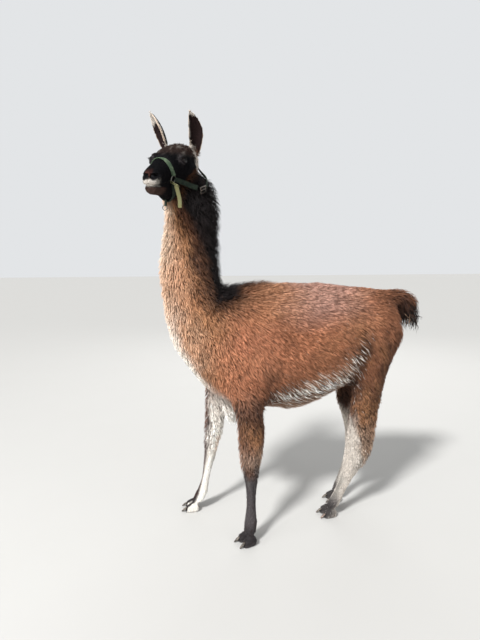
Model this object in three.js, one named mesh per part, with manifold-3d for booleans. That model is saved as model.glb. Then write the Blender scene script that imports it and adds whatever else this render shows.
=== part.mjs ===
// A life-size standing llama wearing a webbing halter, as a still museum model.
// Millimetres, +Z up. The animal faces -Y, and its left side is +X. Every flesh solid
// reaches to the tips of the coat. Loft stations are [x, y, z, side, over, under].
import * as THREE from "three";
import { mergeVertices } from "three/addons/utils/BufferGeometryUtils.js";
import Module from "manifold-3d";

const wasm = await Module();
wasm.setup();

// ---- driving dimensions ------------------------------------------------------------
const GAP = 0.35; // clearance between neighbouring pieces
const HEAD_AT = new THREE.Vector3(2, -420, 1614); // the poll, between the ears
const HEAD_YAW = 60; // degrees that the head is turned to the animal's left
const HEAD_PITCH = -6; // degrees that the nose is raised
const HEAD_ROLL = 3; // degrees that the right side is raised
const EYE = { x: 60, y: -114, z: -26, radius: 18 };
const FOOT_CUT = 84; // height of the parting between leg and foot
const HIND_STEP = 80; // how far the right hind foot stands behind the left
// A strap is pressed into the coat, in a channel with some room to spare. It bends in steps.
const STRAP = { width: 20, thickness: 3, press: 2, room: 1.2, depth: 22, step: 26 };
const RING = { radius: 14, wire: 2.6, lift: 4 };
const BUCKLE = { width: 32, height: 30, bar: 4, depth: 3.5, lift: 3.2 };

const ACROSS = new THREE.Vector3(1, 0, 0);
const ALONG = new THREE.Vector3(0, 1, 0);
const UP = new THREE.Vector3(0, 0, 1);
const degrees = THREE.MathUtils.degToRad;

// ---- making and joining solids -----------------------------------------------------

// A closed body through stations. A sphere's rings are moved to the stations, and the
// first and last stretch are rounded off like a dome. Sections are superellipses.
function loft(stations, { over, around, rings = 1, power = 2, grow = 0 }) {
  const last = stations.length - 1;
  const turns = new THREE.CubicInterpolant(
    stations.map((_, i) => i), stations.flat(), 6, new Float32Array(6));
  const rows = last * rings;
  const geometry = new THREE.SphereGeometry(1, around, rows);
  const place = geometry.attributes.position;
  const heading = new THREE.Vector3(...stations[last]).sub(new THREE.Vector3(...stations[0]));
  const sense = ACROSS.clone().cross(over).dot(heading) > 0 ? -1 : 1;
  for (let i = 0; i < place.count; i++) {
    const t = (Math.floor(i / (around + 1)) / rows) * last;
    const angle = (sense * 2 * Math.PI * ((i % (around + 1)) % around)) / around;
    const [x, y, z, side, above, below] = turns.evaluate(Math.min(t, last));
    const end = Math.min(t, last - t, 1);
    const dome = Math.sqrt(Math.max(0, 1 - (1 - end) ** 2));
    const c = Math.cos(angle);
    const s = Math.sin(angle);
    const u = Math.sign(c) * Math.abs(c) ** (2 / power) * (side + grow) * dome;
    const v = Math.sign(s) * Math.abs(s) ** (2 / power) * ((s > 0 ? above : below) + grow) * dome;
    place.setXYZ(i, x + u + over.x * v, y + over.y * v, z + over.z * v);
  }
  return geometry;
}

function ball(radii, at, around = 8) {
  return new THREE.SphereGeometry(1, around, Math.round(around * 0.6))
    .scale(...radii).translate(...at);
}

function solid(geometry) {
  geometry.deleteAttribute("normal");
  geometry.deleteAttribute("uv");
  const merged = mergeVertices(geometry, 1e-4);
  return new wasm.Manifold(new wasm.Mesh({
    numProp: 3,
    vertProperties: merged.attributes.position.array,
    triVerts: new Uint32Array(merged.index.array),
  }));
}

const join = (...parts) => parts.reduce((whole, part) => whole.add(part));
const cut = (whole, ...tools) => tools.reduce((rest, tool) => rest.subtract(tool), whole);
const moved = (part, matrix) => part.transform(matrix.elements);
const largest = (part) => part.decompose().sort((a, b) => b.volume() - a.volume())[0];

function mesh(name, part, material) {
  const made = part.getMesh();
  const geometry = new THREE.BufferGeometry();
  geometry.setAttribute("position", new THREE.BufferAttribute(made.vertProperties, 3));
  geometry.setIndex(new THREE.BufferAttribute(made.triVerts, 1));
  geometry.computeVertexNormals();
  const node = new THREE.Mesh(geometry, material);
  node.name = name;
  return node;
}

// ---- materials ---------------------------------------------------------------------
const finish = (color, roughness, metalness = 0) =>
  new THREE.MeshStandardMaterial({ color, roughness, metalness });
const bodyWool = finish("#8c5238", 0.9);
const neckWool = finish("#a4704a", 0.9);
const darkCoat = finish("#2b221f", 0.85);
const legCoat = finish("#9a7c66", 0.9);
const eyeGloss = finish("#0c0908", 0.1);
const nailHorn = finish("#4a463f", 0.5);
const webbing = finish("#5d7a4b", 0.85);
const steel = finish("#8d8f8c", 0.35, 1);

// ---- trunk and neck ----------------------------------------------------------------
const TRUNK = [
  [0, -488, 900, 60, 60, 50],
  [0, -472, 892, 72, 66, 52],
  [0, -448, 880, 112, 95, 75],
  [0, -398, 868, 138, 150, 152],
  [0, -330, 855, 156, 200, 222],
  [0, -240, 828, 176, 262, 284],
  [0, -120, 812, 198, 284, 290],
  [0, 0, 806, 214, 286, 298],
  [0, 110, 812, 216, 278, 288],
  [0, 230, 828, 202, 256, 252],
  [0, 345, 850, 184, 230, 236],
  [0, 450, 868, 158, 200, 212],
  [0, 530, 880, 124, 160, 180],
  [0, 560, 880, 88, 112, 128],
  [0, 580, 880, 40, 50, 60],
];
const NECK = [
  [0, -330, 740, 90, 90, 90],
  [0, -326, 830, 142, 122, 122],
  [0, -342, 910, 140, 143, 143],
  [0, -366, 1000, 130, 143, 143],
  [0, -388, 1100, 117, 130, 130],
  [0, -388, 1200, 110, 127, 127],
  [0, -382, 1300, 104, 120, 120],
  [0, -380, 1380, 98, 117, 114],
  [0, -390, 1445, 92, 121, 112],
  [0, -398, 1500, 84, 112, 102],
  [0, -408, 1552, 68, 82, 84],
  [0, -412, 1594, 50, 56, 60],
];
// Long hair hangs from the brisket, between the forelegs.
const BRISKET = { radii: [50, 50, 108], at: [-20, -208, 545] };

const trunkShape = () =>
  join(solid(loft(TRUNK, { over: UP, around: 18, power: 2.15 })), solid(ball(BRISKET.radii, BRISKET.at)));
const neckShape = (grow = 0) => solid(loft(NECK, { over: ALONG, around: 16, grow }));

const TAIL = [
  [0, 480, 1012, 40, 44, 40],
  [0, 530, 1022, 46, 54, 48],
  [0, 585, 1018, 50, 52, 46],
  [0, 638, 998, 52, 54, 48],
  [0, 668, 958, 48, 42, 38],
  [0, 668, 918, 34, 28, 26],
  [0, 658, 882, 18, 13, 12],
];
const TAIL_OVER = new THREE.Vector3(0, 0.6, 0.8);
const tailShape = (grow = 0) =>
  solid(loft(TAIL, { over: TAIL_OVER, around: 12, rings: 2, grow }));

// ---- legs --------------------------------------------------------------------------
// Each leg is lofted from the shoulder or hip down to the pastern, with level sections.
// The wool ends in a cuff below the knee and hock.
const FORELEG_LEFT = [
  [100, -222, 930, 40, 60, 60],
  [108, -220, 870, 62, 84, 84],
  [122, -215, 775, 70, 104, 104],
  [132, -200, 690, 67, 96, 96],
  [143, -172, 612, 60, 80, 80],
  [153, -152, 540, 55, 68, 68],
  [164, -157, 440, 50, 63, 63],
  [171, -160, 365, 49, 62, 62],
  [174, -160, 318, 45, 58, 56],
  [176, -160, 285, 28, 31, 31],
  [179, -160, 220, 23, 24, 24],
  [183, -159, 150, 23, 24, 24],
  [186, -160, 98, 28, 28, 30],
  [192, -166, 50, 30, 26, 28],
  [194, -170, 22, 24, 18, 20],
];
const FORELEG_RIGHT = [
  [-100, -222, 930, 40, 60, 60],
  [-108, -220, 870, 62, 84, 84],
  [-120, -222, 775, 68, 100, 100],
  [-124, -226, 690, 62, 88, 98],
  [-126, -236, 612, 54, 66, 77],
  [-126, -246, 530, 46, 52, 62],
  [-126, -258, 430, 42, 47, 55],
  [-127, -272, 345, 40, 44, 50],
  [-128, -284, 290, 36, 40, 40],
  [-128, -290, 250, 27, 30, 30],
  [-129, -303, 180, 22, 23, 23],
  [-130, -317, 115, 24, 25, 25],
  [-131, -328, 80, 28, 28, 30],
  [-131, -346, 46, 30, 26, 28],
  [-131, -358, 22, 24, 18, 20],
];
const HINDLEG_LEFT = [
  [80, 430, 1010, 40, 60, 60],
  [92, 434, 950, 66, 90, 90],
  [102, 450, 870, 84, 108, 104],
  [106, 434, 780, 82, 102, 98],
  [104, 416, 690, 72, 76, 84],
  [100, 402, 600, 62, 72, 78],
  [96, 392, 520, 56, 70, 70],
  [90, 382, 433, 50, 68, 68],
  [84, 382, 355, 45, 68, 68],
  [80, 376, 300, 42, 66, 66],
  [76, 352, 245, 32, 46, 46],
  [73, 327, 190, 25, 33, 33],
  [70, 302, 135, 24, 28, 28],
  [65, 283, 92, 27, 28, 29],
  [60, 266, 50, 29, 26, 28],
  [58, 260, 22, 24, 18, 20],
];
// The right hind leg swings back from the stifle down, and stands a little wider.
const SWING = { from: 620, over: 300, wider: 10 };
const HINDLEG_RIGHT = HINDLEG_LEFT.map(([x, y, z, ...section]) => {
  const swing = THREE.MathUtils.smoothstep(SWING.from - z, 0, SWING.over);
  return [-x - SWING.wider, y + HIND_STEP * swing, z, ...section];
});

// A toe lies along -Y of its foot, with its sole flattened on the floor.
const TOE = [
  [0, 28, 18, 14, 12, 16],
  [0, 14, 22, 20, 19, 24],
  [0, -10, 23, 21, 22, 26],
  [0, -34, 18, 18, 14, 20],
  [0, -48, 12, 11, 8, 12],
];
const NAIL = [
  [0, -28, 22, 7, 7, 7],
  [0, -40, 19, 8.5, 8, 8],
  [0, -56, 8, 5, 5, 6],
  [0, -64, 3, 2, 1.5, 1.5],
];
const TOE_OFFSET = 20;
const TOE_SPLAY = 6;
const TOE_SIDES = { outer: 1, inner: -1 };

function toePart(stations, side, settings) {
  const geometry = loft(stations, { over: UP, ...settings });
  const place = geometry.attributes.position;
  for (let i = 0; i < place.count; i++) place.setZ(i, Math.max(0, place.getZ(i)));
  return geometry.rotateZ(degrees(side * TOE_SPLAY)).translate(side * TOE_OFFSET, 0, 0);
}

// A foot stands under its pastern, turned outwards by its own angle.
function footMatrix({ x, y, turn }) {
  return new THREE.Matrix4().makeTranslation(x, y, 0)
    .multiply(new THREE.Matrix4().makeRotationZ(degrees(turn)));
}

const LEGS = {
  foreleg_left: { stations: FORELEG_LEFT, foot: "forefoot_left", x: 195, y: -170, turn: 15, side: 1 },
  foreleg_right: { stations: FORELEG_RIGHT, foot: "forefoot_right", x: -131, y: -364, turn: -8, side: -1 },
  hindleg_left: { stations: HINDLEG_LEFT, foot: "hindfoot_left", x: 57, y: 254, turn: 2, side: 1 },
  hindleg_right: {
    stations: HINDLEG_RIGHT, foot: "hindfoot_right", x: -67, y: 254 + HIND_STEP, turn: -2, side: -1,
  },
};

const legShape = (leg, grow = 0) =>
  solid(loft(leg.stations, { over: ALONG, around: 12, grow }));

// ---- head --------------------------------------------------------------------------
// The head's own frame: origin at the poll, nose towards -Y, level when the head is.
const SKULL = [
  [0, 66, -40, 44, 46, 40],
  [0, 42, -42, 68, 72, 60],
  [0, 0, -40, 80, 90, 74],
  [0, -50, -40, 83, 88, 74],
  [0, -98, -42, 78, 68, 72],
  [0, -142, -54, 58, 50, 58],
  [0, -188, -68, 44, 37, 54],
  [0, -232, -83, 39, 32, 46],
  [0, -256, -96, 36, 30, 37],
  [0, -285, -112, 25, 17, 20],
];
const JAW = [
  [0, -6, -126, 42, 34, 44],
  [0, -20, -128, 40, 34, 44],
  [0, -44, -130, 54, 44, 60],
  [0, -104, -130, 46, 38, 52],
  [0, -165, -128, 41, 36, 36],
  [0, -218, -130, 34, 30, 28],
  [0, -246, -133, 30, 24, 25],
  [0, -264, -135, 22, 17, 19],
  [0, -272, -136, 14, 10, 12],
];
const LIPS = [
  [0, -60, -98, 50, 26, 26],
  [0, -130, -104, 49, 34, 34],
  [0, -190, -110, 41, 30, 30],
  [0, -240, -117, 35, 22, 20],
  [0, -272, -121, 24, 12, 12],
];
const BROW = { radii: [24, 36, 17], at: [50, -106, -11] };
const CHEEK = { radii: [22, 46, 40], at: [46, -62, -82] };
const NOSTRIL = { radii: [5, 13, 4], at: [28, -262, -86], splay: 28, tilt: -25 };
const CLEFT = { width: 2.5, depth: 12, height: 30, y: -285, z: -116 };

const mirrorPair = (make) => [make(1), make(-1)];

function headShape(grow = 0) {
  const skull = solid(loft(SKULL, { over: UP, around: 16, rings: 2, power: 2.2, grow }));
  const jaw = solid(loft(JAW, { over: UP, around: 12, grow }));
  const lips = solid(loft(LIPS, { over: UP, around: 12, grow }));
  const bulges = [BROW, CHEEK].flatMap(({ radii, at: [x, y, z] }) =>
    mirrorPair((side) => solid(ball(radii.map((r) => r + grow), [side * x, y, z]))));
  return join(skull, jaw, lips, ...bulges);
}

function faceCuts() {
  const nostrils = mirrorPair((side) => solid(
    new THREE.SphereGeometry(1, 8, 6).scale(...NOSTRIL.radii)
      .rotateZ(degrees(side * NOSTRIL.splay)).rotateX(degrees(NOSTRIL.tilt))
      .translate(side * NOSTRIL.at[0], NOSTRIL.at[1], NOSTRIL.at[2])));
  const cleft = solid(new THREE.BoxGeometry(CLEFT.width, CLEFT.depth, CLEFT.height)
    .translate(0, CLEFT.y, CLEFT.z));
  return [...nostrils, cleft];
}

const eyeShape = (side, grow = 0) =>
  solid(ball(Array(3).fill(EYE.radius + grow), [side * EYE.x, EYE.y, EYE.z], 10));

// An ear is a tall leaf, rolled round its length so that it opens in front, and its tip
// hooks inwards like a banana. Its foot starts at a part of a full leaf's length.
const EAR = { length: 197, wrap: 72, shell: 5, foot: 0.16, belly: 1.5, taper: 0.78 };
const EAR_ROOT = { x: 60, y: 14, z: -22, forward: 14 };
const EAR_POSE = {
  left: { side: 1, lean: 9, turn: 30, hook: 31, half: 30, rise: 0 },
  right: { side: -1, lean: 19, turn: 46, hook: 10, half: 35, rise: 9 },
};

function earShape({ side, lean, turn, hook, half, rise }) {
  const rows = 11;
  const around = 10;
  const geometry = new THREE.SphereGeometry(1, around, rows);
  const place = geometry.attributes.position;
  for (let i = 0; i < place.count; i++) {
    const t = Math.floor(i / (around + 1)) / rows;
    const angle = (-2 * Math.PI * ((i % (around + 1)) % around)) / around;
    const open = t > 0 && t < 1 ? 1 : 0;
    const leaf = (EAR.foot + (1 - EAR.foot) * t) ** EAR.belly;
    const width = half * Math.sin(Math.PI * leaf) ** EAR.taper * open;
    const radius = width / Math.sin(degrees(EAR.wrap));
    const roll = degrees(EAR.wrap) * Math.cos(angle);
    const reach = radius + EAR.shell * (1 - 0.5 * t) * Math.sin(angle) * open;
    const inward = side * hook * Math.max(0, 2 * t - 1) ** 2;
    place.setXYZ(i, reach * Math.sin(roll) - inward,
      reach * Math.cos(roll) - radius * Math.cos(degrees(EAR.wrap)), EAR.length * t);
  }
  return solid(geometry
    .rotateZ(degrees(side * turn))
    .rotateX(degrees(EAR_ROOT.forward))
    .rotateY(degrees(side * lean))
    .translate(side * EAR_ROOT.x, EAR_ROOT.y, EAR_ROOT.z + rise));
}

const headFrame = new THREE.Group();
headFrame.position.copy(HEAD_AT);
headFrame.rotation.set(degrees(-HEAD_PITCH), degrees(HEAD_ROLL), degrees(HEAD_YAW), "ZYX");
headFrame.updateMatrixWorld(true);
const toBody = headFrame.matrixWorld.clone();
const toHead = toBody.clone().invert();

// ---- halter ------------------------------------------------------------------------
// Straps lie on the coat, pressed into it. Points are in the head's frame, and each one is
// settled on the coat along the line from the middle of the strap's loop.
const REACH = 300;
const headCoat = mesh("head_coat", headShape(), darkCoat);
const pollCoat = mesh("poll_coat", join(headShape(), moved(neckShape(), toHead)), darkCoat);
const MUZZLE = { middle: new THREE.Vector3(0, -158, -84), coat: headCoat };
const POLL = { middle: new THREE.Vector3(8, 10, -80), coat: pollCoat };
const caster = new THREE.Raycaster();

function settled(points, { middle, coat }, press = STRAP.press) {
  return points.map(([x, y, z]) => {
    const point = new THREE.Vector3(x, y, z);
    const outward = point.clone().sub(middle).normalize();
    caster.set(middle.clone().addScaledVector(outward, REACH), outward.clone().negate());
    const [hit] = caster.intersectObject(coat);
    return hit.point.addScaledVector(outward, -press);
  });
}

const STRAPS = {
  nose_strap: {
    loop: MUZZLE,
    points: [[50, -166, -77], [50, -178, -58], [34, -180, -28], [0, -166, -14], [-34, -154, -22],
      [-52, -148, -58], [-50, -151, -77]],
  },
  chin_strap: {
    loop: MUZZLE,
    points: [[44, -158, -117], [40, -136, -150], [22, -112, -186], [0, -104, -192],
      [-22, -108, -186], [-40, -130, -150], [-44, -147, -117]],
  },
  cheek_strap_left: {
    loop: POLL,
    points: [[50, -145, -101], [58, -104, -110], [78, -66, -119], [95, -48, -124]],
  },
  cheek_strap_right: {
    loop: POLL,
    points: [[-50, -133, -101], [-58, -96, -110], [-74, -62, -119], [-82, -42, -124]],
  },
  crown_strap: {
    loop: POLL,
    points: [[108, -14, -118], [104, 18, -88], [82, 46, -46], [50, 62, -4], [0, 60, 14],
      [-50, 58, -4], [-72, 40, -46], [-82, 10, -88], [-86, -22, -118]],
  },
};

// The chin strap's spare end hangs free beside the jaw, facing forwards.
const STRAP_END = {
  width: 15,
  middle: new THREE.Vector3(24, -40, -170),
  points: [[60, -170, -118], [60, -154, -146], [57, -130, -174], [51, -119, -203]]
    .map((point) => new THREE.Vector3(...point)),
};

// The lead ring hangs from the chin strap.
const LEAD_RING = { radius: 10, wire: 2.2, at: [-18, -112, -206] };

// A flat strap along a curve, its broad side facing away from the middle of its loop.
function ribbon(points, { middle }, { width = STRAP.width, inner = 0, outer = STRAP.thickness } = {}) {
  const path = new THREE.CatmullRomCurve3(points, false, "centripetal");
  const steps = Math.ceil(path.getLength() / STRAP.step);
  const geometry = new THREE.BoxGeometry(1, 1, 1, 1, 1, steps);
  const place = geometry.attributes.position;
  for (let i = 0; i < place.count; i++) {
    const at = path.getPoint(place.getZ(i) + 0.5);
    const along = path.getTangent(place.getZ(i) + 0.5);
    const outward = at.clone().sub(middle);
    outward.addScaledVector(along, -outward.dot(along)).normalize();
    const sideways = outward.clone().cross(along);
    at.addScaledVector(sideways, place.getX(i) * width);
    at.addScaledVector(outward, place.getY(i) < 0 ? inner : outer);
    place.setXYZ(i, at.x, at.y, at.z);
  }
  return solid(geometry);
}

// The way through the coat that a strap needs, from just under it to well outside.
const channel = (points, loop) => ribbon(points, loop,
  { width: STRAP.width + 2 * STRAP.room, inner: -STRAP.room, outer: STRAP.depth });

// Hardware and its seat in the coat are made lying in the XY plane, and then turned so
// that +Z faces out of the loop.
function facing(part, at, loop, lift) {
  const [point] = settled([at], loop, -lift);
  const outward = point.clone().sub(loop.middle).normalize();
  const pose = new THREE.Quaternion().setFromUnitVectors(UP, outward);
  return moved(part, new THREE.Matrix4().compose(point, pose, new THREE.Vector3(1, 1, 1)));
}

const ringGeometry = ({ radius, wire }) => new THREE.TorusGeometry(radius, wire, 5, 12);
const sideRing = () => solid(ringGeometry(RING));

function ringSeat() {
  const reach = RING.radius + RING.wire + STRAP.room;
  return solid(new THREE.CylinderGeometry(reach, reach, STRAP.depth, 12)
    .rotateX(degrees(90)).translate(0, 0, STRAP.depth / 2 - RING.wire - GAP));
}

// A flat frame with a bar across its middle.
function buckleShape() {
  const window = [BUCKLE.width / 2 - 1.5 * BUCKLE.bar, BUCKLE.height - 2 * BUCKLE.bar];
  const windows = mirrorPair((side) => solid(new THREE.BoxGeometry(...window, 3 * BUCKLE.depth)
    .translate(side * (BUCKLE.width / 4 - BUCKLE.bar / 4), 0, 0)));
  return cut(solid(new THREE.BoxGeometry(BUCKLE.width, BUCKLE.height, BUCKLE.depth)), ...windows);
}

function buckleSeat() {
  const room = 2 * STRAP.room;
  return solid(new THREE.BoxGeometry(BUCKLE.width + room, BUCKLE.height + room, STRAP.depth)
    .translate(0, 0, (STRAP.depth - BUCKLE.depth) / 2 - GAP));
}

const HARDWARE = {
  ring_left: { at: [50, -163, -98], loop: MUZZLE, lift: RING.lift, make: sideRing, seat: ringSeat },
  ring_right: { at: [-50, -151, -98], loop: MUZZLE, lift: RING.lift, make: sideRing, seat: ringSeat },
  buckle: { at: [104, -32, -126], loop: POLL, lift: BUCKLE.lift, make: buckleShape, seat: buckleSeat },
};

// ---- assembly ----------------------------------------------------------------------
const llama = new THREE.Group();
const legTools = Object.values(LEGS).map((leg) => legShape(leg, GAP));

for (const [name, leg] of Object.entries(LEGS)) {
  const matrix = footMatrix(leg);
  const toes = Object.values(TOE_SIDES).map((side) =>
    moved(solid(toePart(TOE, side, { around: 10 })), matrix));
  const nails = Object.entries(TOE_SIDES).map(([which, side]) => {
    const made = (grow) => moved(solid(toePart(NAIL, side, { around: 6, grow })), matrix);
    const label = `nail_${leg.foot}_${which}`;
    return { label, nail: made(0), tool: made(GAP) };
  });
  const whole = cut(join(legShape(leg), ...toes), ...nails.map(({ tool }) => tool));
  const upper = whole.trimByPlane([0, 0, 1], FOOT_CUT);
  const foot = whole.trimByPlane([0, 0, -1], GAP - FOOT_CUT);
  llama.add(mesh(name, upper, legCoat), mesh(leg.foot, foot, darkCoat));
  nails.forEach(({ label, nail }) => llama.add(mesh(label, nail, nailHorn)));
}

const headInBody = moved(headShape(GAP), toBody);
const trunk = cut(trunkShape(), neckShape(GAP), tailShape(GAP), ...legTools);
llama.add(mesh("trunk", trunk, bodyWool));
llama.add(mesh("tail", cut(tailShape(), ...legTools), darkCoat));

const leadRing = solid(ringGeometry(LEAD_RING).rotateX(degrees(90)).translate(...LEAD_RING.at));
headFrame.add(mesh("halter_lead_ring", leadRing, steel));
headFrame.add(mesh("halter_strap_end", ribbon(STRAP_END.points, STRAP_END, STRAP_END), webbing));
const channels = [];
for (const [name, strap] of Object.entries(STRAPS)) {
  const points = settled(strap.points, strap.loop);
  headFrame.add(mesh(`halter_${name}`, ribbon(points, strap.loop), webbing));
  channels.push(channel(points, strap.loop));
}
for (const [name, { at, loop, lift, make, seat }] of Object.entries(HARDWARE)) {
  headFrame.add(mesh(`halter_${name}`, facing(make(), at, loop, lift), steel));
  channels.push(facing(seat(), at, loop, lift));
}
const neckChannels = channels.map((part) => moved(part, toBody));
const neck = cut(neckShape(), headInBody, ...legTools, ...neckChannels);
llama.add(mesh("neck", largest(neck), neckWool));

const head = cut(headShape(), ...faceCuts(), ...channels,
  ...mirrorPair((side) => eyeShape(side, GAP)));
headFrame.add(mesh("head", largest(head), darkCoat));
for (const [label, pose] of Object.entries(EAR_POSE)) {
  headFrame.add(mesh(`eye_${label}`, eyeShape(pose.side), eyeGloss));
  const ear = cut(earShape(pose), headShape(GAP), ...channels);
  headFrame.add(mesh(`ear_${label}`, largest(ear), darkCoat));
}
llama.add(headFrame);

const box = new THREE.Box3().setFromObject(llama, true);
const middle = box.getCenter(new THREE.Vector3());
llama.position.set(-middle.x, -middle.y, -box.min.z);
export default llama;
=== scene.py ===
"""Looks for a life-size standing llama in a webbing halter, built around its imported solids.

One hide replaces the flesh solids and lies inside them by the coat's depth. Locks and tufts of
hair, in joined meshes, grow from the hide and carry the same markings. Everything is in metres.
"""
from __future__ import annotations

import logging
import math
from dataclasses import dataclass, field
from enum import Enum
from functools import cached_property
from typing import Sequence

import bmesh
import bpy
import numpy as np
from bmesh.types import BMFace, BMesh
from bpy.types import ID, Material, Mesh, Node, NodeSocket, NodeTree, Object
from mathutils import Matrix, Vector
from mathutils.bvhtree import BVHTree


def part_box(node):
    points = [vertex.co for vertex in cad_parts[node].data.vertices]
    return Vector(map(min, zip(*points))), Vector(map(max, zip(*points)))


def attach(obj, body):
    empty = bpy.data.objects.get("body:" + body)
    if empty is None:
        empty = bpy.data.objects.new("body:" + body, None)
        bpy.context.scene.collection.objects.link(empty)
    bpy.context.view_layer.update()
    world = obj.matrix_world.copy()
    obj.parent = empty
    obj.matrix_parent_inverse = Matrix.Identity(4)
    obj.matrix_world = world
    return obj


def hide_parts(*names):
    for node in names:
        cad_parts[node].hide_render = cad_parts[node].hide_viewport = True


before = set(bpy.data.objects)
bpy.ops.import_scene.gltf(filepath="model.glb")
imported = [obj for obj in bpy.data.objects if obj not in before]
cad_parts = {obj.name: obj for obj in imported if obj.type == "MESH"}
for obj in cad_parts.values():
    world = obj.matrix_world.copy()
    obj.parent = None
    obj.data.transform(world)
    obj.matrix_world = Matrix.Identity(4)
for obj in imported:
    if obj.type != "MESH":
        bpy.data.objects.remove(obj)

LOG = logging.getLogger("llama")
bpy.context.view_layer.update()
Array = np.ndarray
Triple = tuple[float, float, float]

FEET = ("forefoot_left", "forefoot_right", "hindfoot_left", "hindfoot_right")
NAILS = tuple(f"nail_{foot}_{side}" for foot in FEET for side in ("outer", "inner"))
STRAPS = ("halter_nose_strap", "halter_chin_strap", "halter_cheek_strap_left",
          "halter_cheek_strap_right", "halter_crown_strap")
RINGS = ("halter_ring_left", "halter_ring_right", "halter_lead_ring")


class Region(Enum):
    """Parts of the animal whose coats differ. Values are columns of the hide's weights."""

    TRUNK = 0
    NECK = 1
    HEAD = 2
    EAR = 3
    TAIL = 4
    FORELEG = 5
    HINDLEG = 6
    FOOT = 7


FLESH = {
    "trunk": Region.TRUNK, "neck": Region.NECK, "head": Region.HEAD,
    "ear_left": Region.EAR, "ear_right": Region.EAR, "tail": Region.TAIL,
    "foreleg_left": Region.FORELEG, "foreleg_right": Region.FORELEG,
    "hindleg_left": Region.HINDLEG, "hindleg_right": Region.HINDLEG,
    **{foot: Region.FOOT for foot in FEET},
}
PIECE_NAMES = ("trunk", "neck", "head", "ears", "tail", "foreleg", "hindleg", "feet")
WHOLE_PIECES = (Region.EAR, Region.TAIL, Region.FOOT)  # not split into left and right
COAT_SLOTS = {"shoulder": "body_wool", "barrel": "body_wool", "rump": "body_wool",
              "neck": "neck_wool", "foreleg": "leg_coat", "hindleg": "leg_coat",
              "head": "dark_coat", "ears": "dark_coat", "tail": "dark_coat", "feet": "dark_coat"}


# ---- small mathematics ----
def ramp(value: Array, start: float, end: float) -> Array:
    """Smooth step from 0 at start to 1 at end, which may be the lower of the two."""
    t = np.clip((value - start) / (end - start), 0.0, 1.0)
    return t * t * (3 - 2 * t)


def hill(value: Array, middle: float, half_width: float) -> Array:
    """Bell curve of height 1 around middle."""
    return np.exp(-(((value - middle) / half_width) ** 2))


def unit(vectors: Array) -> Array:
    """Rows scaled to length 1."""
    return vectors / np.maximum(np.linalg.norm(vectors, axis=-1, keepdims=True), 1e-9)


def mix(a: Array, b: Array | Sequence[float], amount: Array) -> Array:
    """Rows of a moved towards b by amount, which has one value for each row."""
    return a + (np.asarray(b) - a) * amount[:, None]


# The noise's random numbers: a hash of each knot, stirred by two generators.
SEED_SHIFT = 17.31
KNOT_HASH = (73856093, 19349663, 83492791)
SEED_HASH = 2654435761
STIR = (1103515245, 12345)
PARK_MILLER = (48271, 2147483647)


def noise(points: Array, size: float, seed: int) -> Array:
    """Smooth random values from -1 to 1 that change over a distance of about size.

    Args:
        points: Places, one row each.
        size: Distance between the lattice's knots, in metres.
        seed: Number that picks the pattern.

    Returns:
        One value for each row.
    """
    place = points / size + seed * SEED_SHIFT
    base = np.floor(place).astype(np.int64)
    t = place - base
    t = t * t * (3 - 2 * t)
    total = np.zeros(len(points))
    for corner in range(8):
        step = np.array([corner & 1, (corner >> 1) & 1, corner >> 2])
        knot = base + step
        code = np.bitwise_xor.reduce(knot * KNOT_HASH, axis=1)
        code = (code ^ (seed * SEED_HASH)) & 0xFFFFFFFF
        code = (code * STIR[0] + STIR[1]) & 0x7FFFFFFF
        code = ((code >> 8) ^ code) * PARK_MILLER[0] % PARK_MILLER[1]
        share = np.where(step, t, 1 - t).prod(axis=1)
        total += share * (2 * code / PARK_MILLER[1] - 1)
    return total


def linear(code: str) -> Array:
    """Linear colour of a hex code such as '8c5238'."""
    srgb = np.array([int(code[i:i + 2], 16) / 255 for i in (0, 2, 4)])
    return np.where(srgb > 0.04045, ((srgb + 0.055) / 1.055) ** 2.4, srgb / 12.92)


# ---- landmarks ----
@dataclass
class Axes:
    """A frame of its own: an origin and three unit axes as the columns of a matrix."""

    origin: Array
    turn: Array

    def local(self, points: Array) -> Array:
        """Points in this frame, from the model's frame."""
        return (points - self.origin) @ self.turn

    def world(self, points: Array) -> Array:
        """Points in the model's frame, from this frame."""
        return np.asarray(points) @ self.turn.T + self.origin

    def direction(self, vectors: Array) -> Array:
        """Directions in the model's frame, from this frame."""
        return np.asarray(vectors) @ self.turn.T


@dataclass
class EarPose:
    """How an ear stands on the head, and where along it its pale tip begins."""

    side: int
    lean: float  # degrees
    turn: float  # degrees
    hook: float
    half: float  # of its width
    rise: float  # of its foot
    pale_from: float


@dataclass(frozen=True)
class EarLeaf:
    """Outline of both ears, as a power of a half sine wave along them."""

    foot: float = 0.16  # share of the wave that lies below the foot
    belly: float = 1.5  # how high up the ear is widest
    taper: float = 0.78
    end: float = 0.985  # share of the length at which the outline stops


EAR_POSES = {
    "ear_left": EarPose(1, 9, 30, 0.031, 0.030, 0.0, 0.86),
    "ear_right": EarPose(-1, 19, 46, 0.010, 0.035, 0.009, 0.70),
}
EAR_ROOT = (0.060, 0.014, -0.022)
EAR_FORWARD = 14  # degrees
EAR_LENGTH = 0.197
EAR_LEAF = EarLeaf()
EYE_PLACE = (0.060, -0.114, -0.026)
NOSE_DROP = 6  # degrees


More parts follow.
